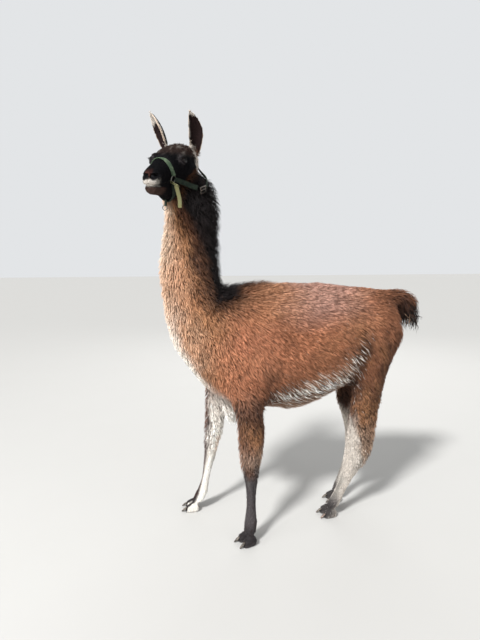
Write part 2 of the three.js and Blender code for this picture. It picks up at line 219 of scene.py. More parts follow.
class Anatomy:
    """Landmarks of the animal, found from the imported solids.

    The body's own frame has X to the animal's left, Y to its tail and Z up from the floor,
    with X = 0 in the middle of the trunk. The head's frame has its origin at the poll.
    """

    CHEST_AHEAD = 0.488  # the trunk's front end, ahead of the body's origin
    EYE_RADIUS = 0.018

    def __init__(self) -> None:
        """Finds the frames of the body, the head and the ears."""
        low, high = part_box("trunk")
        self.body = Axes(
            np.array([(low.x + high.x) / 2, low.y + self.CHEST_AHEAD, 0.0]), np.eye(3))
        left, right = (self.centre(f"eye_{side}") for side in ("left", "right"))
        across = unit(left - right)
        level_back = unit(np.cross((0, 0, 1), across))
        drop = math.radians(NOSE_DROP)
        back = level_back * math.cos(drop) + np.cross(across, level_back) * math.sin(drop)
        turn = np.stack([across, back, np.cross(across, back)], axis=1)
        middle = (left + right) / 2
        self.head = Axes(middle - turn @ np.array([0, EYE_PLACE[1], EYE_PLACE[2]]), turn)
        self.ears = {name: self.ear_axes(pose) for name, pose in EAR_POSES.items()}

    @staticmethod
    def centre(node: str) -> Array:
        """Middle of a node's box."""
        low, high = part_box(node)
        return np.array((low + high) / 2)

    def ear_axes(self, pose: EarPose) -> Axes:
        """Frame of an ear: X across it, Y out of its back, Z from its foot to its tip.

        Args:
            pose: How the ear stands.

        Returns:
            Its frame.
        """
        turn = (Matrix.Rotation(math.radians(pose.side * pose.lean), 3, "Y")
                @ Matrix.Rotation(math.radians(EAR_FORWARD), 3, "X")
                @ Matrix.Rotation(math.radians(pose.side * pose.turn), 3, "Z"))
        root = np.array(EAR_ROOT) * (pose.side, 1, 1) + np.array([0, 0, pose.rise])
        return Axes(self.head.world(root), self.head.turn @ np.array(turn))


# ---- hide ----
SMOOTHING = (0.55, -0.565)  # a step towards the neighbours' mean and one back out


@dataclass
class Sheet:
    """A triangle mesh as arrays, with what is known at each of its points."""

    points: Array
    triangles: Array
    normals: Array = field(init=False)
    areas: Array = field(init=False)

    def __post_init__(self) -> None:
        """Measures the new sheet."""
        self.measure()

    def measure(self) -> None:
        """Works out the points' normals and the triangles' areas again."""
        a, b, c = (self.points[self.triangles[:, i]] for i in range(3))
        crossed = np.cross(b - a, c - a)
        total = np.zeros_like(self.points)
        for i in range(3):
            for axis in range(3):
                total[:, axis] += np.bincount(
                    self.triangles[:, i], crossed[:, axis], len(self.points))
        self.normals = unit(total)
        self.areas = np.linalg.norm(crossed, axis=1) / 2

    @cached_property
    def links(self) -> tuple[Array, Array, Array]:
        """Both ends of each edge, in both directions, and each point's number of neighbours.

        Returns:
            One end of each, the other end, and the numbers of neighbours.
        """
        pairs = np.concatenate([self.triangles[:, [0, 1]], self.triangles[:, [1, 2]],
                                self.triangles[:, [2, 0]]])
        pairs = np.unique(np.sort(pairs, axis=1), axis=0)
        ends, others = np.concatenate([pairs, pairs[:, ::-1]]).T
        return ends, others, np.maximum(np.bincount(ends, minlength=len(self.points)), 1)

    def averaged(self, values: Array) -> Array:
        """Mean of the neighbours' values at each point, column by column.

        Args:
            values: One row for each point.

        Returns:
            The means, one row for each point.
        """
        ends, others, count = self.links
        return np.stack([np.bincount(ends, column[others], len(self.points)) / count
                         for column in values.T], axis=1)

    def spread(self, values: Array, rounds: int) -> Array:
        """Values at the points, evened out over their neighbours a number of times.

        Args:
            values: One row for each point.
            rounds: Number of times.

        Returns:
            The values, evened out.
        """
        for _ in range(rounds):
            values = self.averaged(values)
        return values

    def relax(self, strength: Array, rounds: int) -> None:
        """Smooths the shape, each point by its own strength, without shrinking it.

        Args:
            strength: From 0 to 1 for each point.
            rounds: Number of times.
        """
        for _ in range(rounds):
            for push in SMOOTHING:
                middle = self.averaged(self.points)
                self.points = self.points + (middle - self.points) * (strength * push)[:, None]
        self.measure()


def sheet_of(mesh: Mesh) -> Sheet:
    """Arrays of a mesh of triangles.

    Args:
        mesh: A mesh of triangles.

    Returns:
        Its points and triangles.
    """
    points = np.zeros(len(mesh.vertices) * 3, np.float32)
    mesh.vertices.foreach_get("co", points)
    corners = np.zeros(len(mesh.loops), np.int32)
    mesh.loops.foreach_get("vertex_index", corners)
    return Sheet(points.reshape(-1, 3).astype(float), corners.reshape(-1, 3))


def mesh_of(name: str, points: Array, triangles: Array) -> Mesh:
    """A mesh made from arrays of points and of triangles.

    Args:
        name: Name of the mesh.
        points: Places, one row each.
        triangles: Numbers of three points, one row each.

    Returns:
        The mesh.
    """
    mesh = bpy.data.meshes.new(name)
    mesh.vertices.add(len(points))
    mesh.vertices.foreach_set("co", points.astype(np.float32).ravel())
    mesh.loops.add(triangles.size)
    mesh.loops.foreach_set("vertex_index", triangles.astype(np.int32).ravel())
    mesh.polygons.add(len(triangles))
    mesh.polygons.foreach_set("loop_start", np.arange(0, triangles.size, 3, dtype=np.int32))
    mesh.update(calc_edges=True)
    return mesh


def show(name: str, data: ID) -> Object:
    """Links a mesh, curve, light or camera into the scene as an object.

    Args:
        name: The object's name.
        data: What it shows.

    Returns:
        The object.
    """
    made = bpy.data.objects.new(name, data)
    bpy.context.scene.collection.objects.link(made)
    return made


def place(name: str, mesh: Mesh, smooth: bool = True) -> Object:
    """Links a mesh into the scene as an object at the origin.

    Args:
        name: The object's name.
        mesh: Its mesh.
        smooth: Whether its faces are shaded as one surface.

    Returns:
        The object.
    """
    if smooth:
        mesh.shade_smooth()
    else:
        mesh.shade_flat()
    return show(name, mesh)


def place_shape(name: str, shape: BMesh, smooth: bool = True) -> Object:
    """Links a bmesh into the scene as an object at the origin, and frees it.

    Args:
        name: Name of the object and its mesh.
        shape: The bmesh.
        smooth: Whether its faces are shaded as one surface.

    Returns:
        The object.
    """
    mesh = bpy.data.meshes.new(name)
    shape.to_mesh(mesh)
    shape.free()
    return place(name, mesh, smooth)


def settle(made: Object) -> Mesh:
    """Mesh of an object with its modifiers applied. The object is removed.

    Args:
        made: The object.

    Returns:
        The finished mesh.
    """
    graph = bpy.context.evaluated_depsgraph_get()
    mesh = bpy.data.meshes.new_from_object(made.evaluated_get(graph))
    bpy.data.objects.remove(made)
    return mesh


def node_copy(node: str, grow: float = 0.0) -> BMesh:
    """A merged copy of a CAD node's mesh, grown outwards a little if asked.

    Args:
        node: The CAD node.
        grow: How far its surface moves outwards.

    Returns:
        The copy.
    """
    copy = bmesh.new()
    copy.from_mesh(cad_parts[node].data)
    bmesh.ops.remove_doubles(copy, verts=copy.verts, dist=1e-5)
    copy.normal_update()
    if grow:
        for vertex in copy.verts:
            vertex.co += vertex.normal * grow
    return copy


def tree_of(nodes: Sequence[str]) -> tuple[BVHTree, Array]:
    """Joins the faces of CAD nodes into one search tree.

    Args:
        nodes: Names of the nodes.

    Returns:
        The tree, and for each of its faces the place of its node among the names.
    """
    points, faces, owners = [], [], []
    for owner, node in enumerate(nodes):
        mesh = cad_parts[node].data
        base = len(points)
        points += [tuple(vertex.co) for vertex in mesh.vertices]
        faces += [tuple(base + i for i in face.vertices) for face in mesh.polygons]
        owners += [owner] * len(mesh.polygons)
    return BVHTree.FromPolygons(points, faces), np.array(owners)


THIN_LEVELS = 10


@dataclass
class Hide:
    """The one skin under the whole coat, with the coat's plan at each of its points."""

    anatomy: Anatomy
    voxel: float = 0.0029
    body_keep: float = 0.135  # share of the body's triangles that thinning leaves
    overlap: float = 0.0006  # growth of the solids before they are joined
    border_rounds: int = 10  # how far regions blend into one another
    ground: float = 0.0002  # least height over the floor

    def build(self) -> None:
        """Makes the skin's shape and everything that the coat needs to know about it."""
        raw = self.cast()
        self.sheet = sheet_of(raw)
        bpy.data.meshes.remove(raw)
        self.sort_regions()
        self.smooth()
        self.body = self.anatomy.body.local(self.sheet.points)
        self.face = self.anatomy.head.local(self.sheet.points)
        self.plan = CoatPlan(self)
        self.shrink()
        self.sculpt_head()

    def cast(self) -> Mesh:
        """Joins the flesh solids and thins the triangles on the body.

        Returns:
            A mesh of triangles that reaches to the tips of the coat.
        """
        whole = bmesh.new()
        for node in (*FLESH, "eye_left", "eye_right"):
            part = node_copy(node, self.overlap)
            mesh = bpy.data.meshes.new("part")
            part.to_mesh(mesh)
            part.free()
            whole.from_mesh(mesh)
            bpy.data.meshes.remove(mesh)
        made = place_shape("cast", whole)
        remesh = made.modifiers.new("voxels", "REMESH")
        remesh.mode = "VOXEL"
        remesh.voxel_size = self.voxel
        made = place("cast_fine", settle(made))
        self.weigh(made)
        thin = made.modifiers.new("thin", "DECIMATE")
        thin.ratio = self.body_keep
        thin.vertex_group = "thin"
        thin.use_collapse_triangulate = True
        return settle(made)

    def weigh(self, made: Object) -> None:
        """Marks the points that may be thinned: all but those of the head, ears and toes.

        Args:
            made: The object, which gets a vertex group named thin.
        """
        points = np.zeros(len(made.data.vertices) * 3, np.float32)
        made.data.vertices.foreach_get("co", points)
        points = points.reshape(-1, 3)
        face = self.anatomy.head.local(points)
        head = ramp(face[:, 2], -0.22, -0.19) * ramp(face[:, 1], 0.09, 0.06)
        toes = ramp(points[:, 2], 0.09, 0.06)
        share = 1 - np.maximum(head, toes)
        group = made.vertex_groups.new(name="thin")
        levels = np.round(share * THIN_LEVELS).astype(int)
        for level in range(1, THIN_LEVELS + 1):
            group.add(np.nonzero(levels == level)[0].tolist(), level / THIN_LEVELS, "REPLACE")

    def sort_regions(self) -> None:
        """Gives each point its share of each region, blended over the borders."""
        tree, owners = tree_of(tuple(FLESH))
        nearest = [tree.find_nearest(Vector(point))[2] for point in self.sheet.points]
        columns = np.array([region.value for region in FLESH.values()])[owners[nearest]]
        self.share = self.sheet.spread(np.eye(len(Region))[columns], self.border_rounds)

    def of(self, region: Region) -> Array:
        """Share of a region at each point."""
        return self.share[:, region.value]

    def smooth(self) -> None:
        """Rounds the facets away, least on ears, toes and face."""
        self.sheet.relax(np.ones(len(self.sheet.points)), 3)
        fine = np.clip(self.of(Region.HEAD) + self.of(Region.EAR) + self.of(Region.FOOT), 0, 1)
        self.sheet.relax(1 - fine, 26)
        self.sheet.relax(np.clip(self.of(Region.HEAD), 0, 1), 9)
        self.sheet.relax(np.clip(self.of(Region.EAR) * 0.6, 0, 1), 3)

    def shrink(self) -> None:
        """Draws the skin in from the coat's tips by the coat's depth."""
        even = self.sheet.spread(self.sheet.normals, 3)
        self.sheet.points = self.sheet.points - unit(even) * self.plan.depth[:, None]
        self.taper_knees()
        self.sheet.points[:, 2] = np.maximum(self.sheet.points[:, 2], self.ground)
        coat_end = 1 - np.clip(self.of(Region.HEAD) + self.of(Region.EAR), 0, 1)
        self.sheet.relax(coat_end * 0.8, 3)
        self.sheet.points[:, 2] = np.maximum(self.sheet.points[:, 2], self.ground)
        self.sheet.measure()

    def taper_knees(self) -> None:
        """Narrows the shins and the hem of the wool below each knee."""
        z = self.body[:, 2]
        shin = ramp(z, 0.31, 0.27) * ramp(z, 0.10, 0.14)
        hem = self.of(Region.FORELEG) * (hill(z, 0.322, 0.030) * 0.011 + shin * 0.004)
        level = self.plan.normals * (1, 1, 0)
        self.sheet.points = self.sheet.points - unit(level) * hem[:, None]

    def sculpt_head(self) -> None:
        """Shapes the lids, nostrils, split lip and mouth in the skin of the head."""
        points = self.anatomy.head.local(self.sheet.points)
        for side in (1, -1):
            points = Eye(self.anatomy, side).open_lids(points)
            points = self.nostril(points, side)
        points = self.lips(points)
        self.sheet.points = self.anatomy.head.world(points)
        self.sheet.measure()

    @staticmethod
    def nostril_reach(points: Array, side: int) -> Array:
        """Distance from one nostril's middle in the head's frame, where its edge is at 1.

        Args:
            points: Places in the head's frame.
            side: 1 for the left nostril and -1 for the right one.

        Returns:
            One distance for each place.
        """
        away = points - np.array([side * 0.0255, -0.266, -0.090])
        slant = math.radians(34)
        along = -away[:, 1] * math.cos(slant) - away[:, 2] * math.sin(slant)
        across = -away[:, 1] * math.sin(slant) + away[:, 2] * math.cos(slant)
        across = across + along**2 * 22
        reach = np.sqrt((along / 0.0145) ** 2 + (across / 0.0070) ** 2)
        return np.where(np.abs(away[:, 0]) < 0.022, reach, 9.0)

    @staticmethod
    def mouth_line(y: Array) -> Array:
        """Height of the mouth's line in the head's frame, from the distance along it."""
        return -0.1235 + 0.10 * np.maximum(0, y + 0.262) + 0.004 * ramp(y, -0.215, -0.190)

    @staticmethod
    def nostril(points: Array, side: int) -> Array:
        """Sinks one comma-shaped nostril and raises its rim, in the head's frame.

        Args:
            points: Places in the head's frame.
            side: 1 for the left nostril and -1 for the right one.

        Returns:
            The moved places.
        """
        reach = Hide.nostril_reach(points, side)
        pit = 1 - ramp(reach, 0.55, 1.15)
        rim = hill(reach, 1.45, 0.35)
        inward = unit(np.array([[-side * 0.75, 0.62, 0.10]]))
        return points + inward * (pit * 0.012 - rim * 0.0016)[:, None]

    @staticmethod
    def lips(points: Array) -> Array:
        """Presses in the mouth's line and the split of the upper lip, in the head's frame.

        Args:
            points: Places in the head's frame.

        Returns:
            The moved places.
        """
        x, y, z = points.T
        line = Hide.mouth_line(y)
        ahead = ramp(y, -0.172, -0.190)
        groove = hill(z - line, 0, 0.0030) * ahead
        upper = hill(z - line, 0.0085, 0.006) * ahead
        lower = hill(z - line, -0.0080, 0.006) * ahead
        middle = np.stack([x * 0, np.maximum(y, -0.262), line], axis=1)
        outward = unit(points - middle) * np.array([1, 1, 0.0])
        split = hill(x, 0, 0.0024) * ramp(y, -0.255, -0.270) * ramp(z, -0.127, -0.120) \
            * ramp(z, -0.086, -0.094)
        push = upper * 0.0015 + lower * 0.0010 - groove * 0.0045
        moved = points + outward * push[:, None]
        return moved + np.array([0, 1.0, 0]) * (split * 0.0038)[:, None]


# ---- eyes ----
@dataclass
class Eye:
    """One eye with its lids. Angles are in degrees on the eyeball."""

    anatomy: Anatomy
    side: int
    half_width: float = 56.0
    upper: float = 27.0
    lower: float = 25.0
    lid: float = 0.0020
    slant: float = 14.0
    lashes_each: int = 2

    def __post_init__(self) -> None:
        """Works out the eye's place and the axes of its lids."""
        self.radius = self.anatomy.EYE_RADIUS
        self.name = "left" if self.side > 0 else "right"
        self.centre = np.array(EYE_PLACE) * (self.side, 1, 1)
        out = unit(np.array([self.side * 0.90, -0.42, 0.05]))
        rear = unit(np.cross(out, (0, 0, 1)) * self.side)
        up = unit(np.cross(rear, out) * self.side)
        if up[2] < 0:
            up = -up
        turn = math.radians(self.slant)
        self.rear = rear * math.cos(turn) + up * math.sin(turn)
        self.up = up * math.cos(turn) - rear * math.sin(turn)
        self.out = out

    def contour(self, share: Array, upper: bool) -> Array:
        """Height of a lid's edge in degrees, where share runs from -1 to 1 along it."""
        height = self.upper if upper else self.lower
        return height * np.clip(1 - np.abs(share) ** 2.1, 0, 1) ** 0.72

    def look(self, points: Array) -> tuple[Array, Array, Array, Array]:
        """Where points of the head's frame lie as seen from the eyeball's middle.

        Args:
            points: Places in the head's frame.

        Returns:
            Direction and distance from the middle, and degrees along and across the lids.
        """
        away = points - self.centre
        reach = np.linalg.norm(away, axis=1)
        way = away / np.maximum(reach, 1e-6)[:, None]
        level = np.degrees(np.arctan2(way @ self.rear, way @ self.out))
        height = np.degrees(np.arcsin(np.clip(way @ self.up, -1, 1)))
        return way, reach, level, height

    def lid_edge(self, level: Array, height: Array) -> Array:
        """Height in degrees of the lid on the same side as a point."""
        share = level / self.half_width
        return np.where(height > 0, self.contour(share, True), self.contour(share, False))

    def beyond_lids(self, points: Array) -> Array:
        """Degrees from the lids' edges outwards, large away from the eye.

        Args:
            points: Places in the head's frame.

        Returns:
            Degrees past the nearest edge, negative between the lids.
        """
        way, reach, level, height = self.look(points)
        edge = self.lid_edge(level, height)
        beyond = np.maximum(np.abs(height) - edge, np.abs(level) - self.half_width)
        return np.where((way @ self.out > 0) & (reach < 0.034), beyond, 90.0)

    def open_lids(self, points: Array) -> Array:
        """Lays the skin over the eyeball and opens it between the lids.

        Args:
            points: Places in the head's frame.

        Returns:
            The moved places.
        """
        way, reach, level, height = self.look(points)
        edge = self.lid_edge(level, height)
        facing = way @ self.out > 0
        inside = (np.abs(level) < self.half_width) & (np.abs(height) < edge) & (reach < 0.034) \
            & facing
        beyond = np.maximum(np.abs(height) - edge, np.abs(level) - self.half_width)
        lid = self.radius + self.lid * (1 - ramp(beyond, 6, 46))
        near = (1 - ramp(beyond, 20, 60)) * facing * (reach < 0.045)
        fold = hill(beyond, 17, 4.5) * near * (height > 0) * 0.0012
        wanted = np.where(inside, self.radius - 0.0035, lid - fold)
        pull = np.where(inside, 1.0, near)
        return self.centre + way * (reach + (wanted - reach) * pull)[:, None]

    def rim_path(self, upper: bool) -> Array:
        """Points along a lid's edge, in the model's frame.

        Args:
            upper: Whether it is the upper lid.

        Returns:
            Places from the front corner to the rear one.
        """
        share = np.linspace(-1, 1, 25)
        height = np.radians(self.contour(share, upper)) * (1 if upper else -1)
        level = np.radians(share * self.half_width)
        way = (np.cos(height) * np.cos(level))[:, None] * self.out \
            + (np.cos(height) * np.sin(level))[:, None] * self.rear \
            + np.sin(height)[:, None] * self.up
        return self.anatomy.head.world(self.centre + way * (self.radius + 0.0009))

    def ball(self) -> Object:
        """The eyeball, with a clear bulge in front and a map around its axis.

        Returns:
            The eyeball.
        """
        out, up = (self.anatomy.head.direction(v) for v in (self.out, self.up))
        turn = Matrix([np.cross(up, out), up, out]).transposed()
        centre = Vector(self.anatomy.head.world(self.centre))
        made = bmesh.new()
        bmesh.ops.create_uvsphere(made, u_segments=36, v_segments=24, radius=self.radius)
        layer = made.loops.layers.uv.new("iris")
        for face in made.faces:
            for loop in face.loops:
                x, y, z = loop.vert.co / self.radius
                loop[layer].uv = (0.5 + x * 0.5, 0.5 + y * 0.5 if z > 0 else 0.0)
        for vertex in made.verts:
            axis = vertex.co.z / vertex.co.length
            bulge = float(ramp(np.array([axis]), 0.78, 0.97)[0])
            vertex.co *= 1 + 0.05 * bulge
        bmesh.ops.rotate(made, verts=made.verts, matrix=turn)
        bmesh.ops.translate(made, verts=made.verts, vec=centre)
        return place_shape(f"eyeball_{self.name}", made)

    def lashes(self) -> Object:
        """The upper lid's lashes, fanned out and down a little.

        Returns:
            The lashes, as one piece.
        """
        path = self.rim_path(True)[3:-3]
        path = np.repeat(path, self.lashes_each, axis=0)
        rng = np.random.default_rng(71 + self.side)
        path = path + rng.normal(0, 0.0006, path.shape)
        fan = np.linspace(-1, 1, len(path))[:, None]
        out, up, rear = (self.anatomy.head.direction(v) for v in (self.out, self.up, self.rear))
        way = unit(out * 0.9 + rear * 0.5 * fan - up * 0.35 + rng.normal(0, 0.10, path.shape))
        length = rng.uniform(0.008, 0.013, len(path))[:, None]
        middle = path + way * length * 0.5 + up * 0.0006
        places = np.stack([path, middle, path + way * length + up * 0.0022], axis=1)
        count = len(path)
        locks = Strands(places, np.tile(up, (count, 3, 1)), np.full(count, 0.0007),
                        np.zeros(count), np.zeros(count), np.zeros(count), 3, sink=0.0)
        points, triangles, t = locks.shape()
        mesh = mesh_of(f"lashes_{self.name}", points, triangles)
        corner = np.stack([0.5 + 0 * t, 0.5 + 0.4 * t], axis=1)
        dress_mesh(mesh, np.tile(linear(Shade.SOOT.value), (len(points), 1)),
                   {"OFBake": corner, "strand": np.stack([t, t], axis=1)})
        return place(mesh.name, mesh)

    def rims(self) -> Object:
        """Both lids' wet dark edges as one piece.

        Returns:
            The rims.
        """
        curve = bpy.data.curves.new(f"lid_rims_{self.name}", "CURVE")
        curve.dimensions = "3D"
        curve.bevel_depth = 0.0014
        curve.bevel_resolution = 3
        curve.use_fill_caps = True
        for upper in (True, False):
            path = self.rim_path(upper)
            spline = curve.splines.new("POLY")
            spline.points.add(len(path) - 1)
            spline.points.foreach_set("co", np.c_[path, np.ones(len(path))].ravel())
        return place(curve.name, settle(show("rims", curve)))


# ---- plan of the coat ----
class Shade(Enum):
    """Colours of the hair, as hex codes."""

    CHESTNUT = "c58663"
    RUST = "b97c60"
    # Painted sheen: the greyish pink that light gives the upper back.
    SADDLE = "cfa89c"
    ORANGE = "d29a70"
    GOLD = "b5845c"
    TAN = "d9b092"
    CREAM = "dcc5ae"
    WHITE = "fff9f0"
    GREY_WHITE = "d9d0c6"
    BEIGE = "ab937f"
    BROWN = "6e4630"
    UMBER = "3c2820"
    BLACK = "130c0d"
    SOOT = "0c0b0e"
    SMOKE = "544f50"
    PLUM = "4a3532"
    DUST = "a58a78"
    CROWN = "463732"
    ASH = "8f8b84"
    NOSTRIL = "523029"
    CHIN = "4c3a33"


@dataclass(frozen=True)
class Style:
    """How the hair grows on one region. Lengths are in metres."""

    depth: float  # from the skin out to the coat's tips
    length: float  # of a lock
    width: float  # of a lock, at its widest
    curl: float  # sideways swing of a lock
    cover: float  # how many locks lie over one place
    free: float = 0.0  # share of a lock's end that hangs clear of the body
    pale: float = 0.0  # share of pale locks
    dark: float = 0.0  # share of dark locks
    tipped: float = 0.0  # how dark the roots are and how pale the tips
    lift: float = 0.0  # how far tips stand out past the coat's depth


STYLES = {
    Region.TRUNK: Style(0.011, 0.048, 0.0024, 0.0012, 2.8, 0.0, 0.0, 0.008),
    Region.NECK: Style(0.027, 0.040, 0.0033, 0.0040, 2.9, 0.1, 0.0, 0.02, 0.25),
    Region.HEAD: Style(0.0026, 0.0100, 0.0019, 0.0003, 0.9),
    Region.EAR: Style(0.0012, 0.0100, 0.0015, 0.0004, 1.0),
    Region.TAIL: Style(0.022, 0.060, 0.0044, 0.0070, 4.0, 0.15, 0.0, 0.2, 0.5, 0.004),
    Region.FORELEG: Style(0.017, 0.032, 0.0036, 0.0034, 2.7, 0.15, 0.0, 0.10, 0.4),
    Region.HINDLEG: Style(0.015, 0.036, 0.0034, 0.0028, 2.7, 0.12, 0.0, 0.12, 0.4),
    Region.FOOT: Style(0.0016, 0.0070, 0.0013, 0.0001, 0.55),
}
FIELDS = tuple(Style.__dataclass_fields__)
NECK_HEIGHTS = (0.83, 1.00, 1.10, 1.20, 1.30, 1.38, 1.445, 1.50)
NECK_MIDDLES = (-0.326, -0.366, -0.388, -0.388, -0.382, -0.380, -0.390, -0.398)
NECK_HALVES = (0.122, 0.143, 0.130, 0.127, 0.120, 0.115, 0.116, 0.106)


class CoatPlan:
    """What the hair does at each point of the hide: its build, its lie and its colour.

    Every list has one row for each point. The build's fields are those of Style.
    """

    def __init__(self, hide: Hide) -> None:
        """Plans the whole coat.

        Args:
            hide: The skin, before it is drawn in.
        """
        self.hide = hide
        self.anatomy = hide.anatomy
        self.normals = hide.sheet.spread(hide.sheet.normals, 2)
        table = np.array([[getattr(STYLES[region], name) for name in FIELDS] for region in Region])
        for name, column in zip(FIELDS, (hide.share @ table).T):
            setattr(self, name, column)
        self.locate()
        self.set_build()
        self.comb()
        self.paint()

    def locate(self) -> None:
        """Works out the masks that the build, the lie and the colours share."""
        x, y, z = self.hide.body.T
        of = self.hide.of
        self.trunk, self.neck, self.tail = (
            of(r) for r in (Region.TRUNK, Region.NECK, Region.TAIL))
        self.head, self.ear = of(Region.HEAD), of(Region.EAR)
        foot = of(Region.FOOT)
        self.fore = of(Region.FORELEG) + foot * (y < 0.05)
        self.hind = of(Region.HINDLEG) + foot * (y >= 0.05)
        self.foot = foot
        self.down = -self.normals[:, 2]
        self.ahead = -self.normals[:, 1]
        self.outward = self.normals[:, 0] * np.sign(x)
        self.chest = np.clip(self.trunk + self.neck * ramp(z, 1.02, 0.90), 0, 1) \
            * ramp(y, -0.17, -0.31)
        self.shoulder = (self.trunk + self.fore) * hill(y, -0.19, 0.13) * ramp(z, 0.45, 0.6)
        self.belly = self.trunk * ramp(self.down, 0.25, 0.75)
        middle = np.interp(z, NECK_HEIGHTS, NECK_MIDDLES)
        half = np.interp(z, NECK_HEIGHTS, NECK_HALVES)
        self.across_neck = np.clip((y - middle + half) / (2 * half), 0, 1)
        fringe_height = np.interp(
            y, (-0.12, 0.02, 0.12, 0.20, 0.26, 0.30, 0.34),
            (0.650, 0.652, 0.668, 0.690, 0.745, 0.830, 0.925))
        self.above_fringe = z - fringe_height
        self.fringe = np.clip(self.trunk * 1.4 + self.hind * 0.25, 0, 1) \
            * ramp(self.above_fringe, 0.040, 0.0) * ramp(y, -0.10, -0.04) \
            * ramp(y, 0.36, 0.32) * ramp(self.above_fringe, -0.13, -0.05)
        self.knee_back = self.fore * hill(z, 0.335, 0.035) * ramp(self.ahead, 0.1, -0.6)
        self.hock_back = self.hind * ramp(z, 0.20, 0.27) * ramp(z, 0.50, 0.40) \
            * ramp(self.ahead, 0.2, -0.5)
        self.brisket = self.trunk * ramp(z, 0.66, 0.60) * ramp(y, -0.10, -0.16)
        self.gaskin = self.hind * ramp(z, 0.70, 0.58) * ramp(z, 0.26, 0.32)
        # The rump's rear under the tail's root, later painted black: black hair and painted shade
        # under the tail.
        self.dock = (self.trunk + self.hind) * ramp(y, 0.465, 0.505) * hill(x, 0.0, 0.090) \
            * ramp(z, 0.81, 0.87) * ramp(self.normals[:, 2], 0.60, 0.30)
        front = np.interp(
            z, (0.19, 0.23, 0.27, 0.31, 0.36, 0.42, 0.50), (-1.0, -0.6, -0.3, 0.0, 0.2, 0.5, 0.8))
        self.hind_white = ramp(self.ahead + 0.2 * noise(self.hide.body, 0.03, 25),
                               front - 0.15, front + 0.15) * ramp(z, 0.52, 0.49)
        self.mottle = noise(self.hide.body, 0.035, 22)
        edge = np.abs(x) + 0.85 * (y + 0.24) + 0.035 * self.mottle
        ridge = hill(x, 0, 0.026) * ramp(y + 0.05 * self.mottle, 0.02, -0.05)
        face = self.hide.face
        self.lids = np.minimum(*(Eye(self.anatomy, side).beyond_lids(face) for side in (1, -1)))
        self.nostrils = np.minimum(*(Hide.nostril_reach(face, side) for side in (1, -1)))
        self.withers = np.clip(self.trunk + self.neck, 0, 1) * ramp(z, 0.99, 1.02) \
            * ramp(y, -0.36, -0.30) * np.maximum(ramp(edge, 0.135, 0.110), ridge)

    def lead(self, mask: Array, **targets: float) -> None:
        """Moves fields of the build towards target values by a mask.

        Args:
            mask: How far each point is moved, from 0 to 1.
            **targets: Target values by the names of the fields.
        """
        for name, target in targets.items():
            now = getattr(self, name)
            setattr(self, name, now + (target - now) * np.clip(mask, 0, 1))

    def set_build(self) -> None:
        """Sets the coat's depth and the shape of its locks."""
        z = self.hide.body[:, 2]
        self.lead(self.chest, depth=0.027, length=0.044, width=0.0038, curl=0.0046, free=0.1,
                  dark=0.02, tipped=0.3)
        self.lead(self.shoulder * 0.7, depth=0.022, length=0.046, curl=0.0032, tipped=0.2)
        self.lead(self.belly, depth=0.024, length=0.050, curl=0.0020, free=0.2)
        self.lead(self.fringe, depth=0.024, length=0.066, width=0.0036, curl=0.0036, free=0.35,
                  pale=0.55, dark=0.25)
        self.lead(self.brisket, depth=0.020, length=0.046, curl=0.0030, free=0.3)
        self.lead(self.neck * ramp(z, 1.36, 1.44), depth=0.020, length=0.032, curl=0.0025)
        self.lead(self.withers, depth=0.024, length=0.040, width=0.0034, curl=0.0040, free=0.3,
                  pale=0.0, dark=0.0, lift=0.017)
        shin = self.fore * ramp(z, 0.345, 0.285)
        self.lead(shin, depth=0.0035, length=0.0100, width=0.0016, curl=0.0001, cover=0.8,
                  free=0.0, pale=0.0, dark=0.10, tipped=0.0)
        self.lead(self.fore * hill(z, 0.56, 0.07), curl=0.0050, dark=0.28, tipped=0.8)
        self.lead(self.gaskin, depth=0.015, length=0.030, width=0.0036, curl=0.0056, free=0.3,
                  dark=0.20, tipped=1.0, lift=0.003)
        self.lead(self.hind * self.hind_white, depth=0.0050, length=0.0130, width=0.0020,
                  curl=0.0003, cover=1.1, free=0.0, pale=0.04, dark=0.04, tipped=0.0, lift=0.0)
        self.lead(self.hind * ramp(z, 0.24, 0.17), depth=0.0035, length=0.0100, width=0.0017,
                  curl=0.0001, cover=0.8, free=0.0, dark=0.04, tipped=0.0, lift=0.0)
        self.lead(self.knee_back, depth=0.014, length=0.036, width=0.0036, curl=0.0020, cover=2.4,
                  free=0.35, tipped=0.2)
        self.lead(self.hock_back, depth=0.014, length=0.036, width=0.0038, curl=0.0040, cover=2.8,
                  free=0.35, pale=0.1, dark=0.2, tipped=0.8, lift=0.006)
        self.lead(self.dock, depth=0.012, length=0.056, width=0.0044, curl=0.0040, cover=5.0,
                  free=0.4, dark=0.0, tipped=0.0, lift=0.055)
        self.lead(self.tail * ramp(self.down, 0.0, 0.4), free=0.1, width=0.0054, length=0.060,
                  cover=6.0, lift=0.060, tipped=0.0)
        self.set_head_build()
        sole = self.foot * ramp(self.down, 0.35, 0.7) * ramp(z, 0.03, 0.012)
        self.lead(sole, depth=0.0, cover=0.0)

